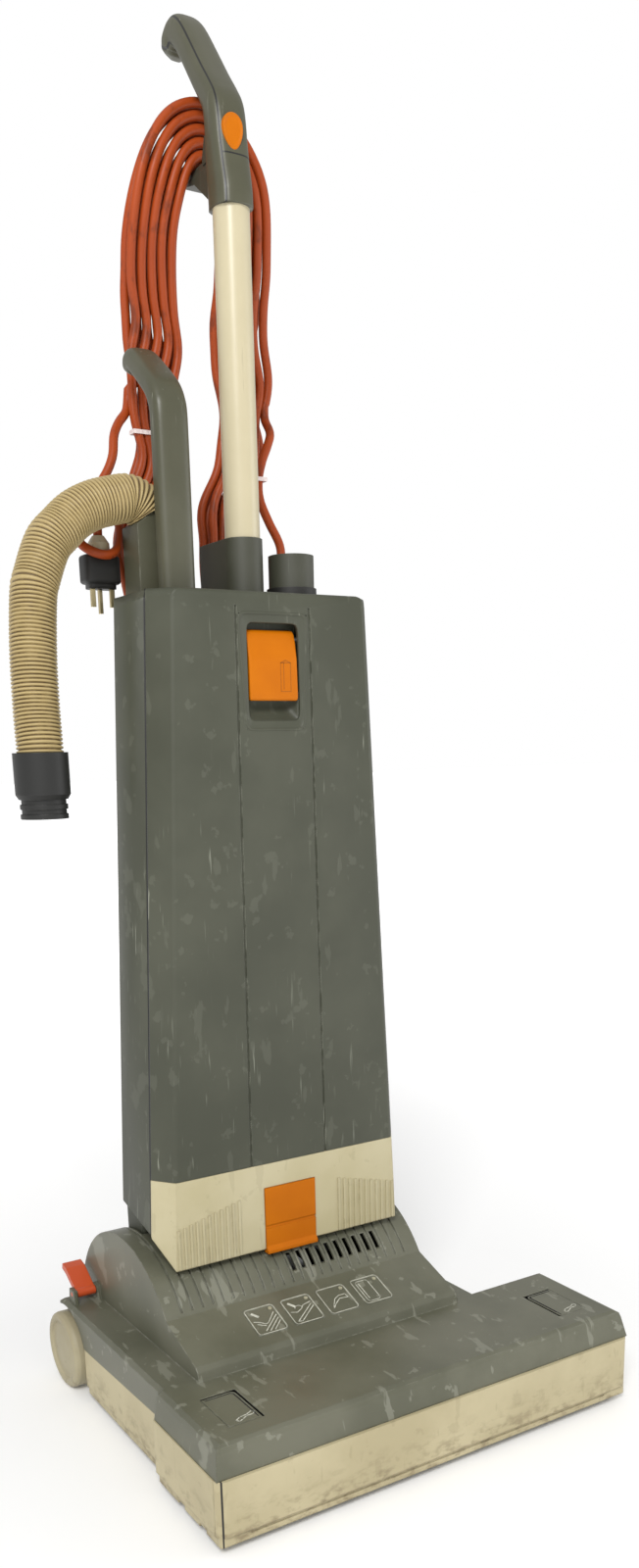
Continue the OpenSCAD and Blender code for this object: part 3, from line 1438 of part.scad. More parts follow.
// Middle line of the hose: up out of the port's slanted top, over and down
hose_start = [port_x, port_setback, port_top_z];
hose_lead = [-sin(port_slant), 0, cos(port_slant)];
hose_bend = 22; // radius of the hose's bend over the port
hose_points = concat([hose_start + 0.3 * hose_lead],
    [for (a = [port_slant, 45, 62, 78]) hose_start + 1.2 * hose_lead + hose_bend
        * [cos(a) - cos(port_slant), 0, sin(a) - sin(port_slant)]],
    [for (p = [[-20.5, 0, 10.4], [-31, -1, 8], [-49.3, -2, 2.9], [-67.8, -4, -6.4], [-83, -6.5, -19.2],
        [-96.2, -9.5, -32.5], [-109, -14.5, -58.8], [-114.3, -17.5, -74.5], [-120.1, -23.5, -118.6],
        [-122.7, -28, -162.3], [-123.8, -32, -192], [-124, -32.5, -204.5]]) hose_start + p]
);
hose_end = hose_points[len(hose_points) - 1];
hose_rings = 180; // two for each rib

module hose() color(cream) {
    path = evenly(curve([for (p = hose_points) spot(p)], 4), hose_rings);
    wave = [for (i = [0 : hose_rings]) hose_wave(i)];
    difference() {
        rod(path, wave, wave);
        cord_rod(concat([path[0] - 2 * heading(path, 0)], [for (i = [0 : 4 : hose_rings]) path[i]],
            [path[hose_rings] + 2 * heading(path, hose_rings)]), hose_bore_r);
    }
}

// Outer radius of the hose at ring i: crests and valleys by turns
function hose_wave(i) = i < 3 || i > hose_rings - 3 ? hose_r - 1.6 : i % 2 == 0 ? hose_r : hose_r - 2;

// Black cuff on the hose's free end
module hose_cuff() color(black)
    translate(spot(hose_end) - [0, 0, cuff_h])
        rotate_extrude() difference() {
            polygon([
                [hose_bore_r, 0], [hose_r + 0.5, 0], [hose_r + 0.5, 4], [hose_r - 0.8, 4],
                [hose_r - 0.8, 8], [hose_r + 0.5, 8], [hose_r + 0.5, 12], [hose_r - 0.8, 12],
                [hose_r - 0.8, 16], [hose_r + 1, 16], [hose_r + 3.5, 20], [hose_r + 3.5, cuff_h + 6],
                [hose_r + 0.6, cuff_h + 6], [hose_r + 0.6, cuff_h], [hose_bore_r, cuff_h]
            ]);
        }

// ---------------------------------------------------------------- cord

side_rings = 6;   // steps up each straight side of a loop
arc_rings = 6;    // steps round the top and round the foot of a loop

// A soft step from 0 to 1
function soft(t) = let (c = min(1, max(0, t))) c * c * (3 - 2 * c);

// Set-back and sideways drift of the strands at height z, and the strand's own drift at turn t
function strand_s(z) = winding_setback + hook_lean * min(1, max(0, (grip_foot_z + 33 - z) / 110));
function strand_x(z, t) = body_x + 5 * soft((grip_foot_z - 17 - z) / 50)
    - 22 * soft((body_top_z + 125 - z) / 50) + 17 * soft((body_top_z + 30 - z) / 60)
    + 0.9 * sin(3.1 * z + 67 * t) * soft((grip_foot_z + 20 - z) / 40);

// Half width of the winding's loop at turn t: in through the first layer, out in the second
function loop_half(t) = outer_half - loop_step
    * (t < loops_per_layer ? t : 2 * loops_per_layer - t);

// Depth of the winding at turn t: it climbs in the half turn where the spiral reverses
function loop_depth(t) = layer_step * soft(t - loops_per_layer + 0.5);

// Rings of one loop as [side, share of the way up a straight, angle round an end]
loop_rings = concat(
    [for (k = [0 : side_rings - 1]) [1, k / side_rings, -1]],
    [for (k = [0 : arc_rings]) [0, 1, 180 * k / arc_rings]],
    [for (k = [side_rings - 1 : -1 : 1]) [-1, k / side_rings, -1]],
    [for (k = [0 : arc_rings - 1]) [0, 0, 180 + 180 * k / arc_rings]]
);

function winding_point(t, ring) =
    let (h = loop_half(t), a = ring[2],
         z = a < 0 ? winding_foot_z + ring[1] * (winding_top_z - winding_foot_z)
            : ring[1] > 0 ? winding_top_z + (h + top_rise) * sin(a)
            : winding_foot_z + (h + foot_fall) * sin(a))
    [strand_x(z, t) + h * (a < 0 ? ring[0] : cos(a)), at_y(strand_s(z)) + loop_depth(t), z];

// The strand starts part way up the right side and ends part way down the left one
loop_count = len(loop_rings);
winding_path = [for (k = [4 : 2 * loops_per_layer * loop_count - 10])
    winding_point(k / loop_count, loop_rings[k % loop_count])];

// Least distance between stretches of the winding that aren't neighbours, less the cord
winding_gap = min([for (i = [0 : len(winding_path) - 1], j = [i + 8 : 1 : len(winding_path) - 1])
    norm(winding_path[i] - winding_path[j])]) - 2 * cord_r;
echo(winding_gap = winding_gap);
winding_start = winding_path[0];
winding_end = winding_path[len(winding_path) - 1];

module cord_winding() color(cord_red) cord_rod(winding_path, cord_r, sides = 6);

// The joint between two lengths of cord leaves a hair's breadth
lead_points = concat([for (p = [
    [gland_x, gland_setback, body_top_z + gland_h - 5.5], [gland_x, gland_setback, 792],
    [gland_x, 285, 812], [14, 287, 832], [7, 290, 851], [9, 295, 869], [18, 303, 887],
    [29, 311, 903], [35, 316, 915]]) spot(p)],
    [winding_start - [0, 0, 12], winding_start - [0, 0, 0.2]]);

module cord_lead() color(cord_red) cord_rod(curve(lead_points, 3), cord_r);

plug_place = [-147, 308, 785];

// The free end: out to the left, down behind the hose, across before the plug's neck, up and over
// into the plug
tail_points = concat([winding_end - [0, 0, 0.2], winding_end + [-0.4, 1, -8]],
    [for (p = [[-102, 334, 922], [-112, 329, 911], [-121, 320, 898], [-126.5, 313, 880],
        [-135, 311, 864], [-150, 310, 845], [-163, 308.5, 828], [-168.5, 305, 813], [-166, 298, 803],
        [-157, 292.5, 797], [-147, 291, 795.5], [-138, 293, 799], [-131.5, 299, 808],
        [-127, 306, 821], [-128, 311, 835], [-134, 313.5, 845.5], [-142, 312.5, 843],
        [-146.5, 310, 832], [-147, 308, 820], [-147, 308, 813.3]]) spot(p)]);

module cord_tail() color(cord_red) cord_rod(curve(tail_points, 2), cord_r);

// White ties: round the lead on the right, round two strands on the left
tie_h = 3.5;
tie_wall = 0.6;

// A tie round strands whose axes run from x0 to x1, at the depth y, with some room round them
module cord_tie(x0, x1, y, z, room) {
    r = cord_r + room;
    difference() {
        translate([x0 - r - tie_wall, y - r - tie_wall, z])
            cube([x1 - x0 + 2 * (r + tie_wall), 2 * (r + tie_wall), tie_h]);
        translate([x0 - r, y - r, z - 1]) cube([x1 - x0 + 2 * r, 2 * r, tie_h + 2]);
    }
}

module cord_ties() color(white) {
    left_z = body_top_z + 143;
    bend = lead_points[5];
    cord_tie(strand_x(left_z, 0.6) - loop_half(0.6), strand_x(left_z, 1.6) - loop_half(1.6),
        at_y(strand_s(left_z)), left_z, 0.35);
    cord_tie(bend.x, bend.x, bend.y, bend.z - tie_h / 2, 1.4);
}

// Three-pin plug hanging with its pins down, its neck upwards
module plug_body() color(black)
    translate(spot(plug_place)) {
        translate([0, 0, -12]) linear_extrude(24) offset(r = 4) square([26, 13], center = true);
        translate([0, 0, -16]) linear_extrude(5) offset(r = 3) square([20, 9], center = true);
        translate([0, 0, 12 - eps]) cylinder(h = 10, r1 = 10, r2 = 9.5);
        translate([0, 0, 21.9]) cylinder(h = 6, r1 = 9.5, r2 = 5.5);
    }

module plug_pins() color("#c8b878")
    translate(spot(plug_place) - [0, 0, 16]) {
        for (x = [-9, 9]) translate([x - 2, -4, -15]) cube([4, 3, 15]);
        translate([-1.5, 1, -20]) cube([3, 4, 20]);
    }

// ---------------------------------------------------------------- assembly

base_tray();
sole_plate();
front_bumper();
left_bumper();
right_bumper();
head_cover();
indicator_lenses();
release_flap_left();
release_flap_right();
brush_core();
brush_tufts();
brush_pulley();
brush_bearing_left();
brush_bearing_right();
drive_belt();
motor_can();
motor_shaft();
motor_pulley();
motor_fan();
suction_duct();
pivot_pin();
wheel_axle();
wheel_left();
wheel_right();
front_roller_left();
front_roller_right();
foot_pedal();
rear_shell();
filter_bag();
bag_collar();
intake_pipe();
motor_filter();
exhaust_filter();
front_cover();
cover_latch();
latch_pin();
filter_cover();
filter_clip();
tube_socket();
handle_tube();
grip_left();
grip_right();
grip_button();
upper_cord_hook();
lower_cord_hook();
wand_handle();
hose_port();
accessory_socket();
socket_ring();
cord_gland();
hose();
hose_cuff();
cord_lead();
cord_winding();
cord_tail();
cord_ties();
plug_body();
plug_pins();
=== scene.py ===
# %% [markdown]
# # A commercial upright vacuum cleaner
# The machine is a wide floor head with a tilting bag body, a handle tube with its supply cord wound
# on two hooks, a lift-out wand and a short ribbed hose. The construction comes packed as a frame of
# named solids in metres. This script gives each solid its finish and adds the soft and rounded pieces.

import bmesh
import bpy
import numpy as np
from mathutils import Matrix, Vector


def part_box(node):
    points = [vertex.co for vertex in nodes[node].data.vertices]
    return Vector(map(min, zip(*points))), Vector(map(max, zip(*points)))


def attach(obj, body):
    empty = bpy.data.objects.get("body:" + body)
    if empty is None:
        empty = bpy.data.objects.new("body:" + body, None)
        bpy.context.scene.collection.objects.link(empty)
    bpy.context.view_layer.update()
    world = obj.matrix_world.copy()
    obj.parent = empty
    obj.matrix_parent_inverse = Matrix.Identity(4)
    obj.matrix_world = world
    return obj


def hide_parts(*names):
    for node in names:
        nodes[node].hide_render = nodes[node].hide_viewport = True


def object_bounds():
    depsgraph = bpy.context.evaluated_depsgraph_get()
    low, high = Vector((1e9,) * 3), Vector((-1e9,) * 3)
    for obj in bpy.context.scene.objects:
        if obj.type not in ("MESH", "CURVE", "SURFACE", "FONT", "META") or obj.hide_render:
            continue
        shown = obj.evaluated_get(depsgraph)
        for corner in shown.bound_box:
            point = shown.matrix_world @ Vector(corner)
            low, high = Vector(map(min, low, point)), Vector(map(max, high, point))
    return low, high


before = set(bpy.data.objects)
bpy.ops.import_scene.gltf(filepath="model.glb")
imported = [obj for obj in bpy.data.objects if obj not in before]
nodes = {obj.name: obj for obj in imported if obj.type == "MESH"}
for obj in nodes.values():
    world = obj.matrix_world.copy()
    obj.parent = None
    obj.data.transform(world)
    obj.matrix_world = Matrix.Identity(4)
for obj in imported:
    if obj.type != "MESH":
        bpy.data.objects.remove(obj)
cad_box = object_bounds()

# %% [markdown]
# ## The camera
# The view is a plain perspective from the front left, a little above the floor head. Its place,
# turn and focal length are given as numbers. The frame is cropped, so the optical axis is not in the
# middle of the picture: the lens shift carries that.

# %% Set up the camera
FRAME_SIZE = (652, 1600)
CAMERA_PLACE = (-0.60634, -0.97527, 0.62623)
CAMERA_YAW = 0.554397
CAMERA_PITCH = -0.252699
CAMERA_ROLL = -0.022863
FOCAL_PIXELS = 1265.2
PRINCIPAL_POINT = (326.0, 1093.7)
SENSOR = 36.0
CLIP_START = 0.05


def camera_axes(yaw, pitch, roll):
    """Right, up and forward of a camera that looks along +Y, turned right, tilted up and rolled."""
    forward = np.array([np.sin(yaw) * np.cos(pitch), np.cos(yaw) * np.cos(pitch), np.sin(pitch)])
    level = np.array([np.cos(yaw), -np.sin(yaw), 0.0])
    up = np.cross(level, forward)
    right = np.cos(roll) * level + np.sin(roll) * up
    return right, -np.sin(roll) * level + np.cos(roll) * up, forward


def add_object(name, data):
    """A new object in the scene for a mesh, a lamp or a camera."""
    made = bpy.data.objects.new(name, data)
    bpy.context.scene.collection.objects.link(made)
    return made


def make_camera():
    """Perspective camera of the frame's size, with its optical axis moved by the lens shift."""
    right, up, forward = camera_axes(CAMERA_YAW, CAMERA_PITCH, CAMERA_ROLL)
    data = bpy.data.cameras.new("camera")
    data.sensor_fit = "AUTO"
    data.sensor_width = SENSOR
    data.lens = FOCAL_PIXELS * SENSOR / max(FRAME_SIZE)
    data.shift_y = (PRINCIPAL_POINT[1] - FRAME_SIZE[1] / 2) / max(FRAME_SIZE)
    data.clip_start = CLIP_START
    camera = add_object("camera", data)
    turn = Matrix((right, up, -forward)).transposed().to_4x4()
    camera.matrix_world = Matrix.Translation(CAMERA_PLACE) @ turn
    bpy.context.scene.camera = camera
    print("lens", round(data.lens, 2), "shift", round(data.shift_y, 4))


make_camera()

# %% [markdown]
# ## The studio
# A pale floor carries the machine and glows a little far away, where no lamp reaches it. Soft light
# comes from a large lamp at the upper left and a weaker one at the right, and a white world fills the
# shadows, as in a light tent. The world looks brighter to the camera than it shines on the model, so
# that the picture has a white ground and the model keeps its shades. The plain display transform
# shows each plastic in its own colour.

# %% Floor, world and lamps
FLOOR_HALF = 30.0
FLOOR_COLOUR = (0.96, 0.96, 0.955)
FLOOR_GLOW = {"From Min": 0.4, "From Max": 3.0, "To Min": 0.05, "To Max": 0.8}
WORLD_SHINE, WORLD_SEEN = 0.62, 1.0
LAMP_TARGET = (0, 0, 0.5)


def make_floor(name, half, colour):
    """A square whose own glow grows with the distance from the middle, as FLOOR_GLOW says."""
    mesh = bpy.data.meshes.new(name)
    corners = [(-half, -half, 0), (half, -half, 0), (half, half, 0), (-half, half, 0)]
    mesh.from_pydata(corners, [], [(0, 1, 2, 3)])
    floor = add_object(name, mesh)
    material = bpy.data.materials.new(name)
    material.use_nodes = True
    tree = material.node_tree
    shader = tree.nodes["Principled BSDF"]
    shader.inputs["Base Color"].default_value = (*colour, 1)
    shader.inputs["Roughness"].default_value = 0.9
    shader.inputs["Emission Color"].default_value = (1, 1, 1, 1)
    place = tree.nodes.new("ShaderNodeTexCoord")
    away = tree.nodes.new("ShaderNodeVectorMath")
    away.operation = "LENGTH"
    fade = tree.nodes.new("ShaderNodeMapRange")
    for key, value in FLOOR_GLOW.items():
        fade.inputs[key].default_value = value
    tree.links.new(place.outputs["Object"], away.inputs[0])
    tree.links.new(away.outputs["Value"], fade.inputs["Value"])
    tree.links.new(fade.outputs["Result"], shader.inputs["Emission Strength"])
    mesh.materials.append(material)


def make_lamp(name, place, size, power):
    """A round lamp, its size in metres and its power in watts, turned to the machine's middle."""
    data = bpy.data.lights.new(name, "AREA")
    data.shape = "DISK"
    data.size = size
    data.energy = power
    lamp = add_object(name, data)
    lamp.location = place
    lamp.rotation_euler = (Vector(LAMP_TARGET) - Vector(place)).to_track_quat("-Z", "Y").to_euler()


def make_world(shine, seen):
    """A white world: shine is its strength for the model, seen its strength for the camera."""
    world = bpy.data.worlds.new("studio")
    world.use_nodes = True
    tree = world.node_tree
    background = tree.nodes["Background"]
    background.inputs["Color"].default_value = (1, 1, 1, 1)
    path = tree.nodes.new("ShaderNodeLightPath")
    mix = tree.nodes.new("ShaderNodeMapRange")
    mix.inputs["To Min"].default_value = shine
    mix.inputs["To Max"].default_value = seen
    tree.links.new(path.outputs["Is Camera Ray"], mix.inputs["Value"])
    tree.links.new(mix.outputs["Result"], background.inputs["Strength"])
    bpy.context.scene.world = world


make_floor("floor", FLOOR_HALF, FLOOR_COLOUR)
make_world(WORLD_SHINE, WORLD_SEEN)
make_lamp("key_lamp", (-1.5, -1.9, 2.4), 1.1, 62)
make_lamp("fill_lamp", (2.2, -1.2, 1.0), 1.4, 12)
bpy.context.scene.view_settings.view_transform = "Standard"
print("floor", 2 * FLOOR_HALF, "m wide, world", WORLD_SHINE, "on the model and", WORLD_SEEN, "seen")

# %% [markdown]
# ## Places
# Everything is measured from the solids: the front of the bumper is the lowest Y of the whole box,
# the handle tube gives the middle of the body, and its socket gives the height of the body's top.
# Lengths are written in millimetres, as on a drawing, and turned into metres once.

# %% Reference places
MM = 0.001
FRONT = cad_box[0][1]
SIDES = ("left", "right")


def corners_of(name):
    """Lowest and highest corner of a solid at rest, as arrays in metres."""
    return tuple(np.array(corner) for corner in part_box(name))


TUBE_LOW, TUBE_HIGH = corners_of("handle_tube")
BODY_X = (TUBE_LOW[0] + TUBE_HIGH[0]) / 2 / MM
TUBE_SETBACK = ((TUBE_LOW[1] + TUBE_HIGH[1]) / 2 - FRONT) / MM
BODY_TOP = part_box("tube_socket")[0][2] / MM
GRIP_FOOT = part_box("grip_right")[0][2] / MM


def spots(points):
    """Points given as [x, set-back from the bumper's front, z] in millimetres, turned into metres."""
    return np.asarray(points, float) * MM + np.array([0.0, FRONT, 0.0])


print("body at x", round(BODY_X, 1), "tube at", round(TUBE_SETBACK, 1), "top at", round(BODY_TOP, 1))

# %% [markdown]
# ## Surfaces from formulas
# A cord, a hose, a grip and a bag are all the same kind of surface: a closed outline carried along a
# path. They could be curve objects with a bevel, but a worked-out grid gives each ring its own size
# and its own outline. The path comes first, then the rings, then the mesh.

# %% Paths
def smooth_path(points, steps):
    """Catmull-Rom curve: each stretch is the cubic through its two ends whose slopes there are half
    the chord between the neighbours. Extra columns, such as half widths, run along with it."""
    p = np.asarray(points, float)
    p = np.vstack([p[:1], p, p[-1:]])
    a, b, c, d = (p[i:len(p) - 3 + i, None, :] for i in range(4))
    t = np.linspace(0, 1, steps, endpoint=False)[None, :, None]
    cubic = 0.5 * (2 * b + (c - a) * t + (2 * a - 5 * b + 4 * c - d) * t**2
                   + (3 * b - a - 3 * c + d) * t**3)
    return np.vstack([cubic.reshape(-1, p.shape[1]), p[-1:]])


def even_path(points, step):
    """The same path with its points set anew, step apart along it."""
    length = np.linalg.norm(np.diff(points[:, :3], axis=0), axis=1)
    along = np.concatenate([[0], np.cumsum(length)])
    at = np.linspace(0, along[-1], max(2, int(round(along[-1] / step)) + 1))
    return np.column_stack([np.interp(at, along, points[:, c]) for c in range(points.shape[1])])


def path_length(points):
    """Sum of the distances from point to point."""
    return float(np.linalg.norm(np.diff(points[:, :3], axis=0), axis=1).sum())


# %% Rings
def squared(t, box):
    """Signed power of a sine or cosine: box 1 keeps a circle, less makes the outline squarer."""
    return np.sign(t) * np.abs(t) ** box


def rings_along(path, half_a, half_b, sides, up=(0, 1, 0), box=1.0):
    """Rings p + a squared(cos) u + b squared(sin) v, where u is square to the path and to up, and v
    is square to both. Returns an array of rings, sides, 3."""
    ahead = np.gradient(path[:, :3], axis=0)
    ahead /= np.linalg.norm(ahead, axis=1, keepdims=True)
    u = np.cross(ahead, up)
    u /= np.linalg.norm(u, axis=1, keepdims=True)
    v = np.cross(ahead, u)
    angle = np.linspace(0, 2 * np.pi, sides, endpoint=False)
    wide = squared(np.cos(angle), box)[None, :, None] * np.asarray(half_a)[:, None, None]
    deep = squared(np.sin(angle), box)[None, :, None] * np.asarray(half_b)[:, None, None]
    return path[:, None, :3] + wide * u[:, None] + deep * v[:, None]


# %% Grids to meshes
def smooth_faces(mesh):
    """Smooth shading on every face."""
    mesh.polygons.foreach_set("use_smooth", np.ones(len(mesh.polygons), bool))


def ring_mesh(name, rings, values=None):
    """Mesh of closed rings joined by quads, its two ends closed by fans to their middles. values are
    one number for each ring, kept as the attribute value."""
    count, sides = rings.shape[:2]
    verts = np.vstack([rings.reshape(-1, 3), rings[0].mean(axis=0), rings[-1].mean(axis=0)])
    here = np.arange(count * sides).reshape(count, sides)
    turned = np.roll(here, -1, axis=1)
    quads = np.stack([here[:-1], turned[:-1], turned[1:], here[1:]], axis=-1).reshape(-1, 4)
    low, high = count * sides, count * sides + 1
    foot = np.column_stack([np.full(sides, low), turned[0], here[0]])
    head = np.column_stack([np.full(sides, high), here[-1], turned[-1]])
    mesh = bpy.data.meshes.new(name)
    mesh.from_pydata(verts.tolist(), [], quads.tolist() + foot.tolist() + head.tolist())
    smooth_faces(mesh)
    if values is not None:
        spread = np.concatenate([np.repeat(values, sides), [values[0], values[-1]]])
        mesh.attributes.new("value", "FLOAT", "POINT").data.foreach_set("value", spread)
    return mesh


def add_piece(mesh, material, body, replaced=()):
    """Puts a mesh into the scene as a piece that rides on a body and stands for some solids."""
    piece = add_object(mesh.name, mesh)
    mesh.materials.append(material)
    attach(piece, body)
    if replaced:
        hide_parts(*replaced)
    print(mesh.name, len(mesh.polygons), "faces")
    return piece


# %% [markdown]
# ## Moulded plastic
# Nearly every casing is an injection moulding: a fine eroded grain, edges rounded by a millimetre or
# two, and years of knocks that leave pale scuffs on the edges and long scratches on the faces. A flat
# colour would miss all of that. The Bevel node rounds the shading of sharp edges without changing the
# mesh, and the angle between the rounded and the true normal tells where the edges are: that is the
# mask for the wear.

# %% Small helpers for node trees
def new_material(name, roughness=0.5, specular=0.5):
    """A material, its node tree and its shader."""
    material = bpy.data.materials.new(name)
    material.use_nodes = True
    shader = material.node_tree.nodes["Principled BSDF"]
    shader.inputs["Roughness"].default_value = roughness
    shader.inputs["Specular IOR Level"].default_value = specular
    return material, material.node_tree, shader


def add_node(tree, kind, inputs=(), **settings):
    """A node with some of its sockets and some of its own settings filled in."""
    made = tree.nodes.new(kind)
    for key, value in dict(inputs).items():
        made.inputs[key].default_value = value
    for key, value in settings.items():
        setattr(made, key, value)
    return made


def noise(tree, scale, detail=4, stretch=(1, 1, 1), rough=0.55, shift=(0, 0, 0)):
    """Noise on object coordinates, drawn out along an axis where its stretch is small."""
    place = add_node(tree, "ShaderNodeTexCoord")
    mapping = add_node(tree, "ShaderNodeMapping", {"Scale": stretch, "Location": shift})
    made = add_node(tree, "ShaderNodeTexNoise", {"Scale": scale, "Detail": detail, "Roughness": rough})
    tree.links.new(place.outputs["Object"], mapping.inputs["Vector"])
    tree.links.new(mapping.outputs["Vector"], made.inputs["Vector"])
    return made.outputs["Fac"]


def ramp(tree, fac, low, high, top=1.0):
    """0 below low, top above high, and smooth between."""
    made = add_node(tree, "ShaderNodeMapRange", {"From Min": low, "From Max": high, "To Max": top},
                    interpolation_type="SMOOTHSTEP")
    tree.links.new(fac, made.inputs["Value"])
    return made.outputs["Result"]


def times(tree, a, b, operation="MULTIPLY"):
    """The product of a and b, or another operation on them. Either may be a socket or a number."""
    made = add_node(tree, "ShaderNodeMath", operation=operation)
    for socket, value in zip(made.inputs, (a, b)):
        if isinstance(value, (int, float)):
            socket.default_value = value
        else:
            tree.links.new(value, socket)
    return made.outputs["Value"]


def blend_colours(tree, fac, a, b):
    """Colour a where fac is 0, colour b where it is 1. Either may be a socket or three numbers."""
    made = add_node(tree, "ShaderNodeMix", data_type="RGBA")
    tree.links.new(fac, made.inputs["Factor"])
    for key, value in (("A", a), ("B", b)):
        socket = [s for s in made.inputs if s.name == key and s.type == "RGBA"][0]
        if isinstance(value, tuple):
            socket.default_value = (*value, 1)
        else:
            tree.links.new(value, socket)
    return [s for s in made.outputs if s.type == "RGBA"][0]


def object_axis(tree, axis):
    """One of the three object coordinates."""
    place = add_node(tree, "ShaderNodeTexCoord")
    split = add_node(tree, "ShaderNodeSeparateXYZ")
    tree.links.new(place.outputs["Object"], split.inputs["Vector"])
    return split.outputs[axis]


def near_plane(tree, axis, at, half, soft=0.4 * MM):
    """1 within half of the plane axis = at, and 0 further away than half + soft."""
    away = times(tree, times(tree, object_axis(tree, axis), float(at), "SUBTRACT"), 0.0, "ABSOLUTE")
    return ramp(tree, away, float(half) + soft, float(half))


# %% Rounded edges, and a mask of where they are
def rounded_edges(tree, radius):
    """Normal rounded over the radius, and how far it leans from the true one, from 0 to about 0.3."""
    bevel = add_node(tree, "ShaderNodeBevel", {"Radius": radius}, samples=6)
    true_normal = add_node(tree, "ShaderNodeNewGeometry")
    lean = add_node(tree, "ShaderNodeVectorMath", operation="DOT_PRODUCT")
    tree.links.new(bevel.outputs["Normal"], lean.inputs[0])
    tree.links.new(true_normal.outputs["Normal"], lean.inputs[1])
    return bevel.outputs["Normal"], times(tree, 1.0, lean.outputs["Value"], "SUBTRACT")


def grain_bump(tree, height, strength, normal=None, distance=0.2 * MM):
    """Normal tilted by a height from 0 to 1 that stands for distance, on top of another normal."""
    made = add_node(tree, "ShaderNodeBump", {"Strength": strength, "Distance": distance})
    tree.links.new(height, made.inputs["Height"])
    if normal is not None:
        tree.links.new(normal, made.inputs["Normal"])
    return made.outputs["Normal"]


# %% Dark joints, and painted shade in the flap slots
SEAM_DARK = (0.008, 0.008, 0.008)
SLOT_SHADE_DARK = (0.004, 0.004, 0.004)
SLOT_SHADE_REACH = 4.2 * MM
SLOT_SHADE_START, SLOT_SHADE_FULL = 0.3 * MM, 0.8 * MM


def flap_slot_shade(tree, colour):
    """Painted shade: darker slot walls round the release flaps, from just below the flaps' top."""
    for side in SIDES:
        low, high = corners_of("release_flap_" + side)
        middle, half = (low + high) / 2, (high - low) / 2 + SLOT_SHADE_REACH
        inside = times(tree, near_plane(tree, "X", middle[0], half[0]),
                       near_plane(tree, "Y", middle[1], half[1]))
        below = ramp(tree, object_axis(tree, "Z"), high[2] - SLOT_SHADE_START, high[2] - SLOT_SHADE_FULL)
        colour = blend_colours(tree, times(tree, inside, below), colour, SLOT_SHADE_DARK)
    return colour


# %% The moulded finish
def moulded(name, base, shade, scuff, radius=1.6 * MM, gloss=(0.42, 0.6), wear=0.7, scratches=0.5,
            smudges=0.0, dirt_and_shade=None, dirt_top=0.0, grain=1400.0, seam=None, lean_low=0.012,
            specular=0.45, slot_shade=False):
    """Moulded plastic: two tones by a slow noise, upright scratches, pale smudges, brown grime low
    down, scuffed edges and a fine grain. seam is a dark joint: an axis, its place and half its width.
    A last switch paints shade into the slots round the release flaps."""
    material, tree, shader = new_material(name, specular=specular)
    cloud = noise(tree, 9.0, 6)
    colour = blend_colours(tree, ramp(tree, cloud, 0.35, 0.68), base, shade)
    if scratches:
        lines = noise(tree, 130.0, 3, (1.0, 1.0, 0.05), 0.7)
        fine = noise(tree, 300.0, 2, (1.0, 1.0, 0.06), 0.6, (3.1, 1.7, 0.4))
        both = times(tree, ramp(tree, lines, 0.66, 0.74, scratches),
                     ramp(tree, fine, 0.66, 0.76, scratches), "MAXIMUM")
        patches = ramp(tree, noise(tree, 5.0, 3, shift=(2.2, 0.3, 1.1)), 0.45, 0.62)
        colour = blend_colours(tree, times(tree, both, patches), colour, scuff)
    if smudges:
        spotty = noise(tree, 62.0, 4, shift=(0.7, 4.1, 2.0))
        long_drops = noise(tree, 48.0, 3, (1.5, 0.4, 0.4), 0.5, (2.7, 1.1, 0.2))
        blots = ramp(tree, spotty, 0.63, 0.67, smudges)
        drips = ramp(tree, long_drops, 0.64, 0.67, smudges)
        colour = blend_colours(tree, times(tree, blots, drips, "MAXIMUM"), colour, scuff)
    if dirt_and_shade is not None:
        low = ramp(tree, object_axis(tree, "Z"), dirt_top, 0.0)
        patchy = ramp(tree, noise(tree, 52.0, 6, (1, 1, 1.8), 0.65, (5.0, 0, 0)), 0.46, 0.66, 0.7)
        colour = blend_colours(tree, times(tree, low, patchy), colour, dirt_and_shade)
    normal, lean = rounded_edges(tree, radius)
    rubbed = ramp(tree, noise(tree, 75.0, 4, (1, 1, 1), 0.65, (9.0, 2.0, 6.0)), 0.44, 0.6)
    edge = times(tree, ramp(tree, lean, lean_low, 0.12, wear), rubbed)
    colour = blend_colours(tree, edge, colour, scuff)
    if seam is not None:
        colour = blend_colours(tree, near_plane(tree, *seam), colour, SEAM_DARK)
    # Painted shade in the slots round the release flaps.
    if slot_shade:
        colour = flap_slot_shade(tree, colour)
    tree.links.new(colour, shader.inputs["Base Color"])
    sheen = add_node(tree, "ShaderNodeMapRange", {"To Min": gloss[0], "To Max": gloss[1]})
    tree.links.new(noise(tree, 18.0, 5), sheen.inputs["Value"])
    tree.links.new(sheen.outputs["Result"], shader.inputs["Roughness"])
    skin = grain_bump(tree, noise(tree, grain, 2), 0.16, normal)
    tree.links.new(skin, shader.inputs["Normal"])
    return material


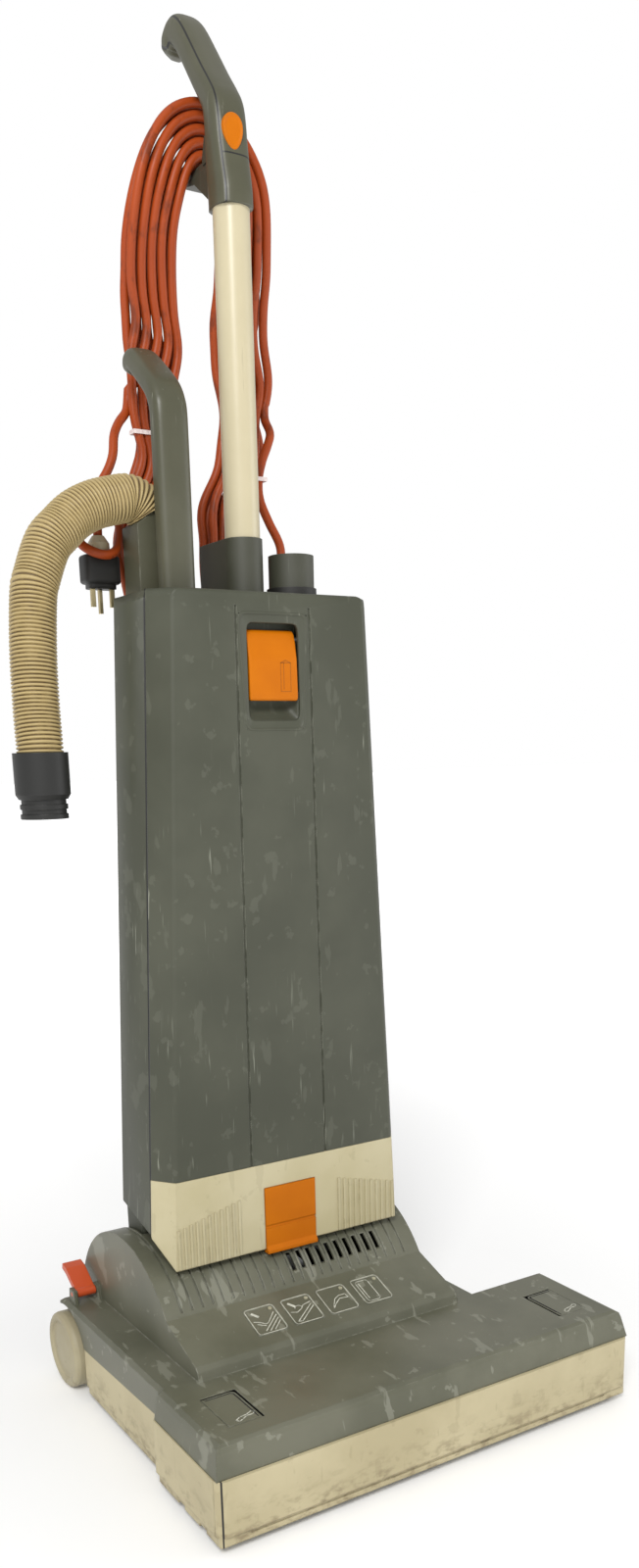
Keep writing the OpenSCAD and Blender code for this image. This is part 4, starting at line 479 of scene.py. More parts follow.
CASE_JOINT = 220
CASE_SEAM = ("Y", FRONT + CASE_JOINT * MM, 1.4 * MM)
BUMPER_SEAM = ("X", cad_box[0][0] + 38.5 * MM, 0.5 * MM)
GREY_SCUFF = (0.42, 0.43, 0.35)
HEAD_SCUFF = (0.30, 0.30, 0.24)
CREAM_DIRT = (0.16, 0.115, 0.06)
finish = {
    "grey_body": moulded("grey_body", (0.049, 0.052, 0.034), (0.066, 0.069, 0.047), GREY_SCUFF,
                         radius=0.8 * MM, wear=0.5, scratches=0.5, smudges=0.05, seam=CASE_SEAM,
                         lean_low=0.06, specular=0.4),
    "grey_head": moulded("grey_head", (0.098, 0.099, 0.066), (0.142, 0.141, 0.100), HEAD_SCUFF,
                         radius=1.8 * MM, gloss=(0.3, 0.5), wear=0.5, scratches=0.15, smudges=0.4,
                         slot_shade=True),
    "grey_parts": moulded("grey_parts", (0.063, 0.062, 0.037), (0.082, 0.080, 0.051), GREY_SCUFF,
                          radius=1.4 * MM, gloss=(0.3, 0.46), wear=0.3, scratches=0.45),
    "dark_parts": moulded("dark_parts", (0.042, 0.043, 0.028), (0.056, 0.057, 0.040), GREY_SCUFF,
                          radius=1.2 * MM, wear=0.25, scratches=0.2),
    "cream": moulded("cream", (0.43, 0.37, 0.22), (0.52, 0.455, 0.285), CREAM_DIRT,
                     radius=1.6 * MM, wear=0.22, scratches=0.15, smudges=0.14,
                     dirt_and_shade=CREAM_DIRT, dirt_top=58 * MM, seam=BUMPER_SEAM),
    "cream_wheel": moulded("cream_wheel", (0.34, 0.295, 0.185), (0.41, 0.365, 0.24), CREAM_DIRT,
                           radius=2.0 * MM, wear=0.3, scratches=0.1, smudges=0.3),
    "cream_door": moulded("cream_door", (0.455, 0.40, 0.235), (0.52, 0.465, 0.30), CREAM_DIRT,
                          radius=1.2 * MM, wear=0.3, scratches=0.12, smudges=0.12),
    "orange": moulded("orange", (0.46, 0.118, 0.0), (0.53, 0.145, 0.0), (0.27, 0.07, 0.002),
                      radius=1.4 * MM, gloss=(0.4, 0.55), wear=0.15, scratches=0.12, specular=0.15),
    "red": moulded("red", (0.54, 0.075, 0.018), (0.62, 0.105, 0.025), (0.30, 0.09, 0.04),
                   radius=1.4 * MM, gloss=(0.28, 0.42), wear=0.3, scratches=0.1),
    "black": moulded("black", (0.010, 0.010, 0.009), (0.018, 0.017, 0.015), (0.16, 0.16, 0.14),
                     radius=0.8 * MM, wear=0.3, scratches=0.15),
}
print(len(finish), "moulded finishes")

# %% [markdown]
# ## The other finishes
# The handle tube is a coated metal tube: glossier than the mouldings, with fine scratches that run
# along it. The cord has a soft vinyl sheath, bright where it is rubbed and brown with grime in
# between. The hose is cream with painted shade in its valleys, and steel, rubber, fibre and card are
# there for the pieces inside.

# %% Coated tube
def coated_tube():
    """Ivory paint with dark scratches along the tube where it is knocked most."""
    material, tree, shader = new_material("ivory_coat", 0.3, 0.5)
    colour = blend_colours(tree, noise(tree, 30.0, 4), (0.45, 0.395, 0.255), (0.52, 0.46, 0.31))
    lines = ramp(tree, noise(tree, 240.0, 3, (1, 1, 0.05), 0.65), 0.6, 0.68, 0.9)
    where = ramp(tree, noise(tree, 14.0, 3, (1, 1, 0.5), 0.6, (1.3, 0, 2.4)), 0.5, 0.6)
    colour = blend_colours(tree, times(tree, lines, where), colour, (0.10, 0.09, 0.07))
    tree.links.new(colour, shader.inputs["Base Color"])
    tree.links.new(grain_bump(tree, noise(tree, 600.0, 2), 0.05), shader.inputs["Normal"])
    return material


# %% Cord sheath
def cord_sheath():
    """Orange-red vinyl, darker and browner in patches of grime."""
    material, tree, shader = new_material("cord_sheath", 0.45, 0.3)
    colour = blend_colours(tree, noise(tree, 22.0, 5), (0.27, 0.036, 0.003), (0.37, 0.060, 0.008))
    grime = ramp(tree, noise(tree, 48.0, 6, (1, 1, 0.6), 0.7, (4.0, 1.0, 0)), 0.52, 0.68, 0.75)
    colour = blend_colours(tree, grime, colour, (0.12, 0.022, 0.006))
    tree.links.new(colour, shader.inputs["Base Color"])
    tree.links.new(grain_bump(tree, noise(tree, 420.0, 3), 0.2), shader.inputs["Normal"])
    return material


# %% Hose
def hose_skin():
    """Cream vinyl: the attribute value is 0 on a rib's crest and 1 in a valley, which gets painted
    shade.
    """
    material, tree, shader = new_material("hose_skin", 0.45, 0.4)
    colour = blend_colours(tree, noise(tree, 35.0, 4), (0.37, 0.28, 0.12), (0.46, 0.355, 0.17))
    valley = add_node(tree, "ShaderNodeAttribute", attribute_name="value").outputs["Fac"]
    patchy = ramp(tree, noise(tree, 60.0, 4), 0.25, 0.6)
    # Painted shade: darker and browner in the valleys between the ribs, in patches.
    dirt_and_shade = times(tree, ramp(tree, valley, 0.35, 0.95, 0.9), times(tree, patchy, 0.35, "ADD"))
    colour = blend_colours(tree, dirt_and_shade, colour, (0.13, 0.085, 0.035))
    tree.links.new(colour, shader.inputs["Base Color"])
    tree.links.new(grain_bump(tree, noise(tree, 300.0, 2), 0.1), shader.inputs["Normal"])
    return material


# %% Steel, rubber, fibre, card
def metal(name, colour, roughness, streak):
    """Turned metal: fine rings across X by a noise drawn out round the axis."""
    material, tree, shader = new_material(name, roughness)
    shader.inputs["Metallic"].default_value = 1.0
    fine = noise(tree, 900.0, 2, streak)
    darker = tuple(0.8 * c for c in colour)
    tree.links.new(blend_colours(tree, fine, darker, colour), shader.inputs["Base Color"])
    normal = rounded_edges(tree, 0.4 * MM)[0]
    tree.links.new(grain_bump(tree, fine, 0.12, normal), shader.inputs["Normal"])
    return material


def matt(name, low, high, scale, roughness, bump):
    """Matt stuff in two tones of one noise, which also gives its relief."""
    material, tree, shader = new_material(name, roughness, 0.25)
    fac = noise(tree, scale, 6, rough=0.62)
    colour = blend_colours(tree, ramp(tree, fac, 0.3, 0.7), low, high)
    tree.links.new(colour, shader.inputs["Base Color"])
    tree.links.new(grain_bump(tree, fac, bump, distance=0.4 * MM), shader.inputs["Normal"])
    return material


finish.update({
    "ivory": coated_tube(),
    "cord": cord_sheath(),
    "hose": hose_skin(),
    "steel": metal("steel", (0.62, 0.63, 0.64), 0.32, (1, 0.05, 0.05)),
    "brass": metal("brass", (0.72, 0.60, 0.34), 0.3, (0.2, 0.2, 1)),
    "rubber": matt("rubber", (0.016, 0.016, 0.016), (0.032, 0.031, 0.030), 260.0, 0.75, 0.3),
    "fibre": matt("fibre", (0.66, 0.65, 0.60), (0.80, 0.79, 0.74), 700.0, 0.85, 0.5),
    "fleece": matt("fleece", (0.03, 0.036, 0.042), (0.055, 0.062, 0.07), 900.0, 0.9, 0.6),
    "paper": matt("paper", (0.55, 0.48, 0.36), (0.64, 0.57, 0.45), 420.0, 0.8, 0.25),
    "card": matt("card", (0.42, 0.33, 0.20), (0.52, 0.42, 0.27), 500.0, 0.85, 0.2),
    "tie": matt("tie", (0.72, 0.60, 0.58), (0.84, 0.76, 0.73), 300.0, 0.5, 0.1),
    "lens": matt("lens", (0.30, 0.29, 0.20), (0.42, 0.40, 0.29), 500.0, 0.25, 0.02),
    "print": matt("print", (0.42, 0.42, 0.35), (0.66, 0.66, 0.57), 240.0, 0.6, 0.02),
    "faint_print": matt("faint_print", (0.36, 0.36, 0.29), (0.52, 0.52, 0.44), 240.0, 0.6, 0.02),
    "dark_print": matt("dark_print", (0.25, 0.07, 0.003), (0.34, 0.10, 0.004), 240.0, 0.6, 0.02),
})
print(len(finish), "finishes")

# %% [markdown]
# ## Finishes on the solids
# A solid whose shape is right stays and only takes a finish. Each could be copied and given its own
# material, but one table of finishes keeps the same plastic the same everywhere. The table names the
# solids of each finish, and everything else is a grey moulding.

# %% Hand out the finishes
FINISH_OF = {
    "grey_body": ["rear_shell", "front_cover"],
    "grey_head": ["head_cover", "base_tray", "release_flap_left", "release_flap_right"],
    "dark_parts": ["accessory_socket", "tube_socket", "upper_cord_hook", "lower_cord_hook"],
    "cream": ["front_bumper", "left_bumper", "right_bumper"],
    "cream_wheel": ["wheel_left", "wheel_right"],
    "cream_door": ["filter_cover"],
    "orange": ["cover_latch", "filter_clip", "grip_button"],
    "red": ["foot_pedal"],
    "ivory": ["handle_tube"],
    "black": ["sole_plate", "hose_cuff", "plug_body", "socket_ring", "brush_core", "motor_fan",
              "suction_duct", "intake_pipe", "front_roller_left", "front_roller_right"],
    "rubber": ["drive_belt", "cord_gland"],
    "steel": ["motor_can", "motor_shaft", "motor_pulley", "brush_pulley", "pivot_pin", "wheel_axle",
              "latch_pin"],
    "brass": ["plug_pins"],
    "fibre": ["brush_tufts", "exhaust_filter"],
    "fleece": ["motor_filter"],
    "card": ["bag_collar"],
    "tie": ["cord_ties"],
    "lens": ["indicator_lenses"],
}
finish_by_node = {name: key for key, names in FINISH_OF.items() for name in names}
for name, node in nodes.items():
    node.data.materials.clear()
    node.data.materials.append(finish[finish_by_node.get(name, "grey_parts")])
print("finishes on", len(nodes), "solids")

# %% [markdown]
# ## The rounded casing
# The two halves of the body have generously rounded corners. A live Bevel on a copy of each solid
# gives that, with a weight for each edge, so that the long outer edges are round and the small ribs
# stay crisp. A bevel by angle would be shorter to write, but it would round the ribs away.

# %% Rounded copies
BEVEL_WIDTH = 10.0
BEVEL_SEGMENTS = 5
SHARP_ANGLE = 0.25


def rounded(name, body, weight_of):
    """A copy of a solid with its doubles merged and its flat faces joined. weight_of gives the share
    of the bevel's width for each sharp edge from its middle, direction and length in millimetres."""
    form = bmesh.new()
    form.from_mesh(nodes[name].data)
    bmesh.ops.remove_doubles(form, verts=form.verts, dist=0.02 * MM)
    bmesh.ops.dissolve_limit(form, angle_limit=0.01, verts=form.verts, edges=form.edges)
    turn = np.array([edge.calc_face_angle_signed(0) for edge in form.edges])
    mesh = bpy.data.meshes.new(name + "_rounded")
    form.to_mesh(mesh)
    form.free()
    ends = np.empty(2 * len(mesh.edges), np.int32)
    mesh.edges.foreach_get("vertices", ends)
    co = np.empty(3 * len(mesh.vertices), np.float32)
    mesh.vertices.foreach_get("co", co)
    pair = (co.reshape(-1, 3) / MM - [0, FRONT / MM, 0])[ends.reshape(-1, 2)]
    length = np.linalg.norm(pair[:, 1] - pair[:, 0], axis=1)
    weight = weight_of(pair.mean(axis=1), np.abs(pair[:, 1] - pair[:, 0]) / length[:, None], length)
    weight = np.where(turn > SHARP_ANGLE, weight, 0.0)
    mesh.attributes.new("bevel_weight_edge", "FLOAT", "EDGE").data.foreach_set("value", weight)
    mesh.attributes.new("sharp_edge", "BOOLEAN", "EDGE").data.foreach_set(
        "value", (np.abs(turn) > SHARP_ANGLE) & (weight == 0))
    smooth_faces(mesh)
    piece = add_piece(mesh, nodes[name].data.materials[0], body, [name])
    bevel = piece.modifiers.new("round", "BEVEL")
    bevel.width = BEVEL_WIDTH * MM
    bevel.segments = BEVEL_SEGMENTS
    bevel.limit_method = "WEIGHT"
    bevel.use_clamp_overlap = False
    bevel.harden_normals = True


CASE_FRONT, CASE_BACK = 205, 312
INNER_X, SIDE_X = 78, 96
CORNER_SHARE, TOP_SHARE, UPRIGHT_SHARE = 0.8, 0.35, 0.3


def casing_edges(mid, along, length):
    """Weights of the body's outer edges: round top corners, softer upright and top edges."""
    x, s, z = np.abs(mid[:, 0] - BODY_X), mid[:, 1], mid[:, 2]
    from_joint = np.abs(s - CASE_JOINT)
    upright = (along[:, 2] > 0.9) & (length > 60) & (x > INNER_X) & (from_joint > 3)
    outer = (x > SIDE_X) | (s < CASE_FRONT) | (s > CASE_BACK)
    top = (z > BODY_TOP - 1) & (length > 6) & (from_joint > 1) & outer
    corner = top & (along[:, 1] > 0.8) & (x > SIDE_X)
    return np.select([corner, top, upright], [CORNER_SHARE, TOP_SHARE, UPRIGHT_SHARE], 0.0)


rounded("front_cover", "door", casing_edges)
rounded("rear_shell", "body", casing_edges)

# %% [markdown]
# ## The latch recess
# A raised frame runs round the recess, and below the latch the floor curves forward as a dish for the
# fingers. They could be cut into the cover's own mesh, but as thin pieces laid on it they leave that
# mesh simple: the frame is a profile carried round a closed outline, the dish a formula on a grid.

# %% Recess frame and finger dish
RECESS_MID, RECESS_HALF = 694.0, 48.0
RECESS_FOOT_HALF, RECESS_TOP_HALF = 29.0, 34.0
OPENING_HALF_X, OPENING_HALF_Z = 25.8, 40.5
RECESS_BOX = 0.16


def band_mesh(name, loops):
    """Closed loops joined one to the next and the last to the first, like a ring of any section."""
    count, sides = loops.shape[:2]
    here = np.arange(count * sides).reshape(count, sides)
    below, turned = np.roll(here, -1, axis=0), np.roll(here, -1, axis=1)
    quads = np.stack([here, turned, np.roll(below, -1, axis=1), below], axis=-1).reshape(-1, 4)
    mesh = bpy.data.meshes.new(name)
    mesh.from_pydata(loops.reshape(-1, 3).tolist(), [], quads.tolist())
    smooth_faces(mesh)
    return mesh


def recess_loop(grow, inner, setback, sides=128):
    """A rounded trapezoid: x = w(z) sq(cos t), z = middle + h sq(sin t). inner blends from the
    recess's outline, 0, to the latch's opening, 1."""
    t = np.linspace(0, 2 * np.pi, sides, endpoint=False)
    half_z = (RECESS_HALF + grow) * (1 - inner) + OPENING_HALF_Z * inner
    z = RECESS_MID + half_z * squared(np.sin(t), RECESS_BOX)
    share = (z - RECESS_MID + RECESS_HALF) / (2 * RECESS_HALF)
    wide = RECESS_FOOT_HALF + (RECESS_TOP_HALF - RECESS_FOOT_HALF) * share + grow
    wide = wide * (1 - inner) + OPENING_HALF_X * inner
    return spots(np.column_stack([BODY_X + wide * squared(np.cos(t), RECESS_BOX), 0 * t + setback, z]))


FRAME_PROFILE = [(1.6, 0, 197.1), (1.1, 0, 196.75), (0.4, 0, 196.5), (-0.4, 0, 196.7), (-1.0, 0, 197.4),
                 (-1.4, 0, 197.8), (0, 0.92, 197.9), (0, 0.98, 198.2), (0, 1, 198.9), (0, 1, 202.0),
                 (-0.6, 0, 202.0)]
add_piece(band_mesh("recess_frame", np.stack([recess_loop(*row) for row in FRAME_PROFILE])),
          finish["grey_body"], "door")


DISH_HALF, DISH_SIDE = 25.6, 25.7
DISH_FOOT, DISH_TOP = 653.4, 678.0
DISH_FRONT, DISH_DEPTH, DISH_RISE = 199.4, 12.0, 17


def dish_mesh():
    """Plate whose front is s = DISH_FRONT + d(z) (1 - |x/w|^6), with d from 0 at the foot to
    DISH_DEPTH under the latch, and whose back is a millimetre behind."""
    x = np.linspace(-DISH_HALF, DISH_HALF, 48)
    z = np.linspace(DISH_FOOT, DISH_TOP, 28)
    deep = DISH_DEPTH * np.sin(np.clip((z - DISH_FOOT) / DISH_RISE, 0, 1) * np.pi / 2) ** 0.8
    front = DISH_FRONT + deep[None, :] * (1 - np.abs(x[:, None] / DISH_SIDE) ** 6)
    face = np.stack([BODY_X + 0 * front + x[:, None], front, 0 * front + z[None, :]], axis=-1)
    back = face[:, ::-1] + [0, 1.0, 0]
    return ring_mesh("finger_dish", spots(np.concatenate([face, back], axis=1)))


add_piece(dish_mesh(), finish["grey_body"], "door")

# %% [markdown]
# ## The latch
# The latch is an orange shell with a long sloped shoulder, which turns on a steel pin inside it. It
# could be a block with a bevel, but a section given by its points sets the slope directly. The section
# is a closed outline of set-back and height, carried across the width and drawn in a little at both
# ends, which rounds them.

# %% Latch
LATCH_HALF = 24.0
LATCH_FLAT = 12
LATCH_ROUND = 1.6
LATCH_SECTION = [
    [202.6, 670.4], [199.6, 670.2], [198.4, 670.8], [198.0, 672.2], [198.0, 680], [198.0, 692],
    [198.0, 704.5], [198.3, 706.5], [198.9, 708.6], [201.0, 720.5], [202.9, 726.2], [204.6, 728.7],
    [206.2, 729.5], [207.0, 728.8], [207.0, 724], [205.6, 716], [203.4, 708], [202.8, 704],
    [202.8, 690], [202.8, 672.2],
]


def latch_mesh():
    """Rings across the width. Near each end the section shrinks towards its middle as a quarter
    circle of LATCH_ROUND."""
    section = np.array(LATCH_SECTION)
    turn = np.radians(np.linspace(0, 90, 7))
    draw, edge = LATCH_ROUND * (1 - np.sin(turn)), LATCH_HALF - LATCH_ROUND * (1 - np.cos(turn))
    inset = np.concatenate([draw, np.zeros(2), draw[::-1]])
    x = np.concatenate([-edge, [-LATCH_FLAT, LATCH_FLAT], edge[::-1]])
    toward = section.mean(axis=0) - section
    toward /= np.linalg.norm(toward, axis=1, keepdims=True)
    flat = section[None] + inset[:, None, None] * toward[None]
    across = np.repeat(BODY_X + x[:, None], len(section), axis=1)
    return ring_mesh("latch_shell", spots(np.stack([across, flat[..., 0], flat[..., 1]], axis=-1)))


add_piece(latch_mesh(), finish["orange"], "latch", ["cover_latch"])

# %% [markdown]
# ## Under the release flaps
# A black pan, a holder for the brush's end, lies deep under each flap and makes the slot beside the
# flap look black: painted shade for the deep shadow in the slot. A plain block would hide there too,
# but a shallow pan made of a few rings shows a proper rim when the flap is pressed down.

# %% Brush end holders, black as painted shade
HOLDER_SHADE_LOW = np.array([-4, -2, -9]) * MM
HOLDER_SHADE_HIGH = np.array([4, 6, -5]) * MM


def holder_shade_mesh(name, low, high):
    """A shallow pan for painted shade: squared oval rings, out over the rim and down to the floor."""
    middle, half = (low + high) / 2, (high - low) / 2
    t = np.linspace(0, 2 * np.pi, 64, endpoint=False)
    rows = np.array([[1, 0], [1, 1], [0.96, 1], [0.94, 0.5], [0.5, 0.4], [0.03, 0.4]])
    x = middle[0] + rows[:, :1] * half[0] * squared(np.cos(t), 0.2)
    y = middle[1] + rows[:, :1] * half[1] * squared(np.sin(t), 0.2)
    z = np.repeat(low[2] + rows[:, 1:] * (high[2] - low[2]), len(t), axis=1)
    return ring_mesh(name, np.stack([x, y, z], axis=-1))


# Each pan stands for a brush end holder, and its black is painted shade in the slot above it.
for side in SIDES:
    low, high = corners_of("release_flap_" + side)
    rim = np.array([high[0], high[1], low[2]])
    holder_shade = holder_shade_mesh("holder_shade_" + side, low + HOLDER_SHADE_LOW, rim + HOLDER_SHADE_HIGH)
    add_piece(holder_shade, finish["rubber"], "base")

# %% [markdown]
# ## The supply cord
# One cord of about ten metres runs from the gland on the body's top to the wound bundle between the
# two hooks, ten loops in two layers, and its free end comes forward round the plug's neck and down
# into it. A real cord keeps its length, so the path is worked out first and measured: given points
# for the two free stretches, and a formula for the loops.

# %% The winding's path
WINDING_SETBACK = TUBE_SETBACK + 45
HOOK_LEAN = 36
TOP_TURN_Z = GRIP_FOOT - 10
FOOT_TURN_Z = BODY_TOP - 40
LAYER_STEP = 9.8
LOOPS_PER_LAYER = 5
LOOP_STEP = 9.6
OUTER_HALF = 69
TOP_RISE = 38
FOOT_FALL = 10
SIDE_STEPS = 6
ARC_STEPS = 6
START_RING = 4
END_RINGS = 10
# The bundle's sideways shifts, each [how far, the height where it starts, the fall it takes].
DRIFTS = [[5, GRIP_FOOT - 17, 50], [-22, BODY_TOP + 125, 50], [17, BODY_TOP + 30, 60]]
WOBBLE = 0.9
LEAN_TOP, LEAN_FALL = GRIP_FOOT + 33, 110
# The waves of the slack cord, each [size, radians per millimetre of height, share of the phase].
SLACK_WAVES = [[4.2, 0.045, 1], [1.1, 0.115, 2]]
SLACK_DEPTH = 0.6


def soft_step(t):
    """0 below 0, 1 above 1, 3t2 - 2t3 between."""
    c = np.clip(t, 0, 1)
    return c * c * (3 - 2 * c)


def winding_path():
    """Loops with straight sides and oval ends. The half width shrinks by one step a loop in the first
    layer and grows back in the second. The whole bundle leans back below the upper hook and drifts
    sideways between the hooks."""
    arc = np.radians(np.arange(ARC_STEPS + 1) * 180 / ARC_STEPS)
    share = np.arange(SIDE_STEPS) / SIDE_STEPS
    low = arc[:-1] + np.pi
    across = np.concatenate([np.ones(SIDE_STEPS), np.cos(arc), -np.ones(SIDE_STEPS - 1), np.cos(low)])
    rise = np.concatenate([np.zeros(SIDE_STEPS), np.sin(arc), np.zeros(SIDE_STEPS - 1), np.sin(low)])
    up = np.concatenate([share, np.ones(ARC_STEPS + 1), share[:0:-1], np.zeros(ARC_STEPS)])
    k = np.arange(START_RING, 2 * LOOPS_PER_LAYER * len(up) - END_RINGS + 1)
    turn, ring = k / len(up), k % len(up)
    half = OUTER_HALF - LOOP_STEP * np.minimum(turn, 2 * LOOPS_PER_LAYER - turn)
    z = FOOT_TURN_Z + up[ring] * (TOP_TURN_Z - FOOT_TURN_Z)
    z = z + rise[ring] * (half + np.where(up[ring] > 0, TOP_RISE, FOOT_FALL))
    drift = sum(shift * soft_step((top - z) / fall) for shift, top, fall in DRIFTS)
    wobble = WOBBLE * np.sin(np.radians(3.1 * z + 67 * turn))
    drift = drift + wobble * soft_step((GRIP_FOOT + 20 - z) / 40)
    lean = HOOK_LEAN * np.clip((LEAN_TOP - z) / LEAN_FALL, 0, 1)
    depth = LAYER_STEP * soft_step(turn - LOOPS_PER_LAYER + 0.5)
    return np.column_stack([BODY_X + drift + half * across[ring], WINDING_SETBACK + lean + depth, z])


def slack(path):
    """Sideways waves, size sin(rate z + share phase), and a small one in depth, all fading out
    towards both hooks. The phase creeps from loop to loop, so that neighbours stay apart."""
    z = path[:, 2]
    loop = np.arange(len(path)) * 2 * LOOPS_PER_LAYER / len(path)
    phase = 0.3 * loop + 2.1 * (path[:, 0] > BODY_X)
    free = soft_step((TOP_TURN_Z - 10 - z) / 60) * soft_step((z - BODY_TOP - 10) / 60)
    wave = sum(size * np.sin(rate * z + share * phase) for size, rate, share in SLACK_WAVES)
    depth = SLACK_DEPTH * free * np.cos(0.06 * z + 3 * phase)
    return path + np.column_stack([free * wave, depth, 0 * wave])


winding = winding_path()
print("winding", round(path_length(winding) * MM, 2), "m in", 2 * LOOPS_PER_LAYER, "loops")

# %% The free stretches
GLAND_X = BODY_X + 61
GLAND_SETBACK = TUBE_SETBACK + 38
PLUG_PLACE = np.array([-147.0, 308.0, 785.0])
CORD_R = 4.0

lead_points = [
    [GLAND_X, GLAND_SETBACK, BODY_TOP + 8.5], [GLAND_X, GLAND_SETBACK, 792], [GLAND_X, 285, 812],
    [14, 287, 832], [7, 290, 851], [9, 295, 869], [18, 303, 887], [29, 311, 903], [35, 316, 915],
    winding[0] - [0, 0, 12], winding[0],
]
tail_points = [
    winding[-1], winding[-1] + [-0.4, 1, -8], [-102, 334, 922], [-112, 329, 911], [-121, 320, 898],
    [-126.5, 313, 880], [-135, 311, 864], [-150, 310, 845], [-163, 308.5, 828], [-168.5, 305, 813],
    [-166, 298, 803], [-157, 292.5, 797], [-147, 291, 795.5], [-138, 293, 799], [-131.5, 299, 808],
    [-127, 306, 821], [-128, 311, 835], [-134, 313.5, 845.5], [-142, 312.5, 843], [-146.5, 310, 832],
    [-147, 308, 820], [-147, 308, 813.3],
]
cord_path = np.vstack([smooth_path(lead_points, 8)[:-1], slack(smooth_path(winding, 8))[:-1],
                       smooth_path(tail_points, 8)])
cord_path = even_path(spots(cord_path), 4 * MM)

# %% The cord's sheath and its sleeve
CORD_SIDES = 12
radius = np.full(len(cord_path), CORD_R * MM)
cord_rings = rings_along(cord_path, radius, radius, CORD_SIDES)
cord = add_piece(ring_mesh("supply_cord", cord_rings), finish["cord"], "body",
                 ["cord_lead", "cord_winding", "cord_tail"])


SLEEVE_FOOT, SLEEVE_HEIGHT = BODY_TOP + 14, 22
SLEEVE_R, SLEEVE_TAPER = 6.2, 1.6
SLEEVE_RIBS, SLEEVE_RIB_HEIGHT = 6, 0.35


def sleeve_mesh():
    """Tapered sleeve on the gland: the radius falls by SLEEVE_TAPER, with shallow rings."""
    up = np.linspace(0, 1, 60)
    path = spots(np.column_stack([0 * up + GLAND_X, 0 * up + GLAND_SETBACK,
                                  SLEEVE_FOOT + SLEEVE_HEIGHT * up]))
    ribs = SLEEVE_RIB_HEIGHT * (np.cos(up * 2 * np.pi * SLEEVE_RIBS) > 0) * (up < 0.9)
    r = (SLEEVE_R - SLEEVE_TAPER * up + ribs) * MM
    return ring_mesh("cord_sleeve", rings_along(path, r, r, 32))


sleeve = add_piece(sleeve_mesh(), finish["rubber"], "body")

# %% [markdown]
# ## The plug
# The plug hangs with its pins down. Its shell is a rounded black block and its neck, where the cord
# goes in, is ivory. A bevelled cube could serve for the shell, but a squared oval carried upwards,
# narrower at both ends, makes the block and the round neck with one helper.

# %% Plug shell and neck
PLUG_HALF = (17.0, 10.5)
PLUG_RISE = 12
PLUG_EDGE = 3.0
PLUG_PLATE = [[-16, 12.2, 6.8], [-15.7, 13, 7.5], [-12.2, 13, 7.5]]


def upright(place, rows, sides, box):
    """Rings at heights above a place. rows are [height, half width, half depth]."""
    rows = np.asarray(rows, float)
    path = spots(np.asarray(place) + np.column_stack([0 * rows[:, 0], 0 * rows[:, 0], rows[:, 0]]))
    return rings_along(path, rows[:, 1] * MM, rows[:, 2] * MM, sides, box=box)


def plug_rows():
    """A base plate, then a body whose edges are quarter circles of PLUG_EDGE."""
    turn = np.radians(np.linspace(0, 90, 7))
    draw = PLUG_EDGE * (1 - np.sin(turn))
    edge = np.column_stack([PLUG_EDGE * (1 - np.cos(turn)) - PLUG_RISE, PLUG_HALF[0] - draw,
                            PLUG_HALF[1] - draw])
    return np.vstack([PLUG_PLATE, edge, edge[::-1] * [-1, 1, 1]])


plug_shell = add_piece(ring_mesh("plug_shell", upright(PLUG_PLACE, plug_rows(), 64, 0.45)),
                       finish["black"], "body", ["plug_body"])
neck_rows = [[11.5, 9.4, 9.4], [12, 10, 10], [21, 9.5, 9.5], [22.2, 9.2, 9.2], [27.2, 5.8, 5.8],
             [27.9, 5.3, 5.3]]
plug_neck = add_piece(ring_mesh("plug_neck", upright(PLUG_PLACE, smooth_path(neck_rows, 4), 48, 1.0)),
                      finish["ivory"], "body")

# %% [markdown]
# ## The hose
# The short hose springs out of the slanted port, bends over and hangs down beside the body. Its wall
# is ribbed: the radius swings between crest and valley along the path. The wave could be a
# displacement, but worked out ring by ring it is exact and needs no texture.

# %% Hose path and ribs
PORT_X = BODY_X - 76
PORT_SETBACK = TUBE_SETBACK + 31.5
PORT_TOP_Z = BODY_TOP + 69
PORT_SLANT = np.radians(34)
HOSE_BEND = 22
HOSE_R = 19.5
RIB_DEPTH = 2.2
RIB_COUNT = 90
RIB_RINGS = 8
HOSE_SIDES = 48


def hose_route():
    """Up out of the port's slanted top on an arc, over, and down by given points."""
    start = np.array([PORT_X, PORT_SETBACK, PORT_TOP_Z])
    lead = np.array([-np.sin(PORT_SLANT), 0, np.cos(PORT_SLANT)])
    arc = np.radians([34, 45, 62, 78])
    bend = HOSE_BEND * np.column_stack([np.cos(arc) - np.cos(PORT_SLANT), 0 * arc,
                                        np.sin(arc) - np.sin(PORT_SLANT)])
    falling = [[-20.5, 0, 10.4], [-31, -1, 8], [-49.3, -2, 2.9], [-67.8, -4, -6.4], [-83, -6.5, -19.2],
               [-96.2, -9.5, -32.5], [-109, -14.5, -58.8], [-114.3, -17.5, -74.5],
               [-120.1, -23.5, -118.6], [-122.7, -28, -162.3], [-123.8, -32, -192],
               [-124, -32.5, -204.5]]
    return np.vstack([start + 0.3 * lead, start + 1.2 * lead + bend, start + np.array(falling)])


hose_line = spots(smooth_path(hose_route(), 12))
hose_line = even_path(hose_line, path_length(hose_line) / (RIB_COUNT * RIB_RINGS))
swing = 0.5 - 0.5 * np.cos(np.arange(len(hose_line)) * 2 * np.pi / RIB_RINGS)
valley = swing ** 1.6
hose_radius = (HOSE_R - RIB_DEPTH * valley) * MM
hose_rings = rings_along(hose_line, hose_radius, hose_radius, HOSE_SIDES)
hose = add_piece(ring_mesh("suction_hose", hose_rings, valley), finish["hose"], "body",
                 ["hose"])

# %% [markdown]
# ## The grip
# The grip is two half shells screwed together, bent back at the top and rounded everywhere. It could
# be sculpted, but a table of rows is easier to correct: the middle line bends, the depth shrinks from
# the foot to the bend and swells again at the end, and the outline is a squared oval. The joint
# between the halves shows as a thin dark line.

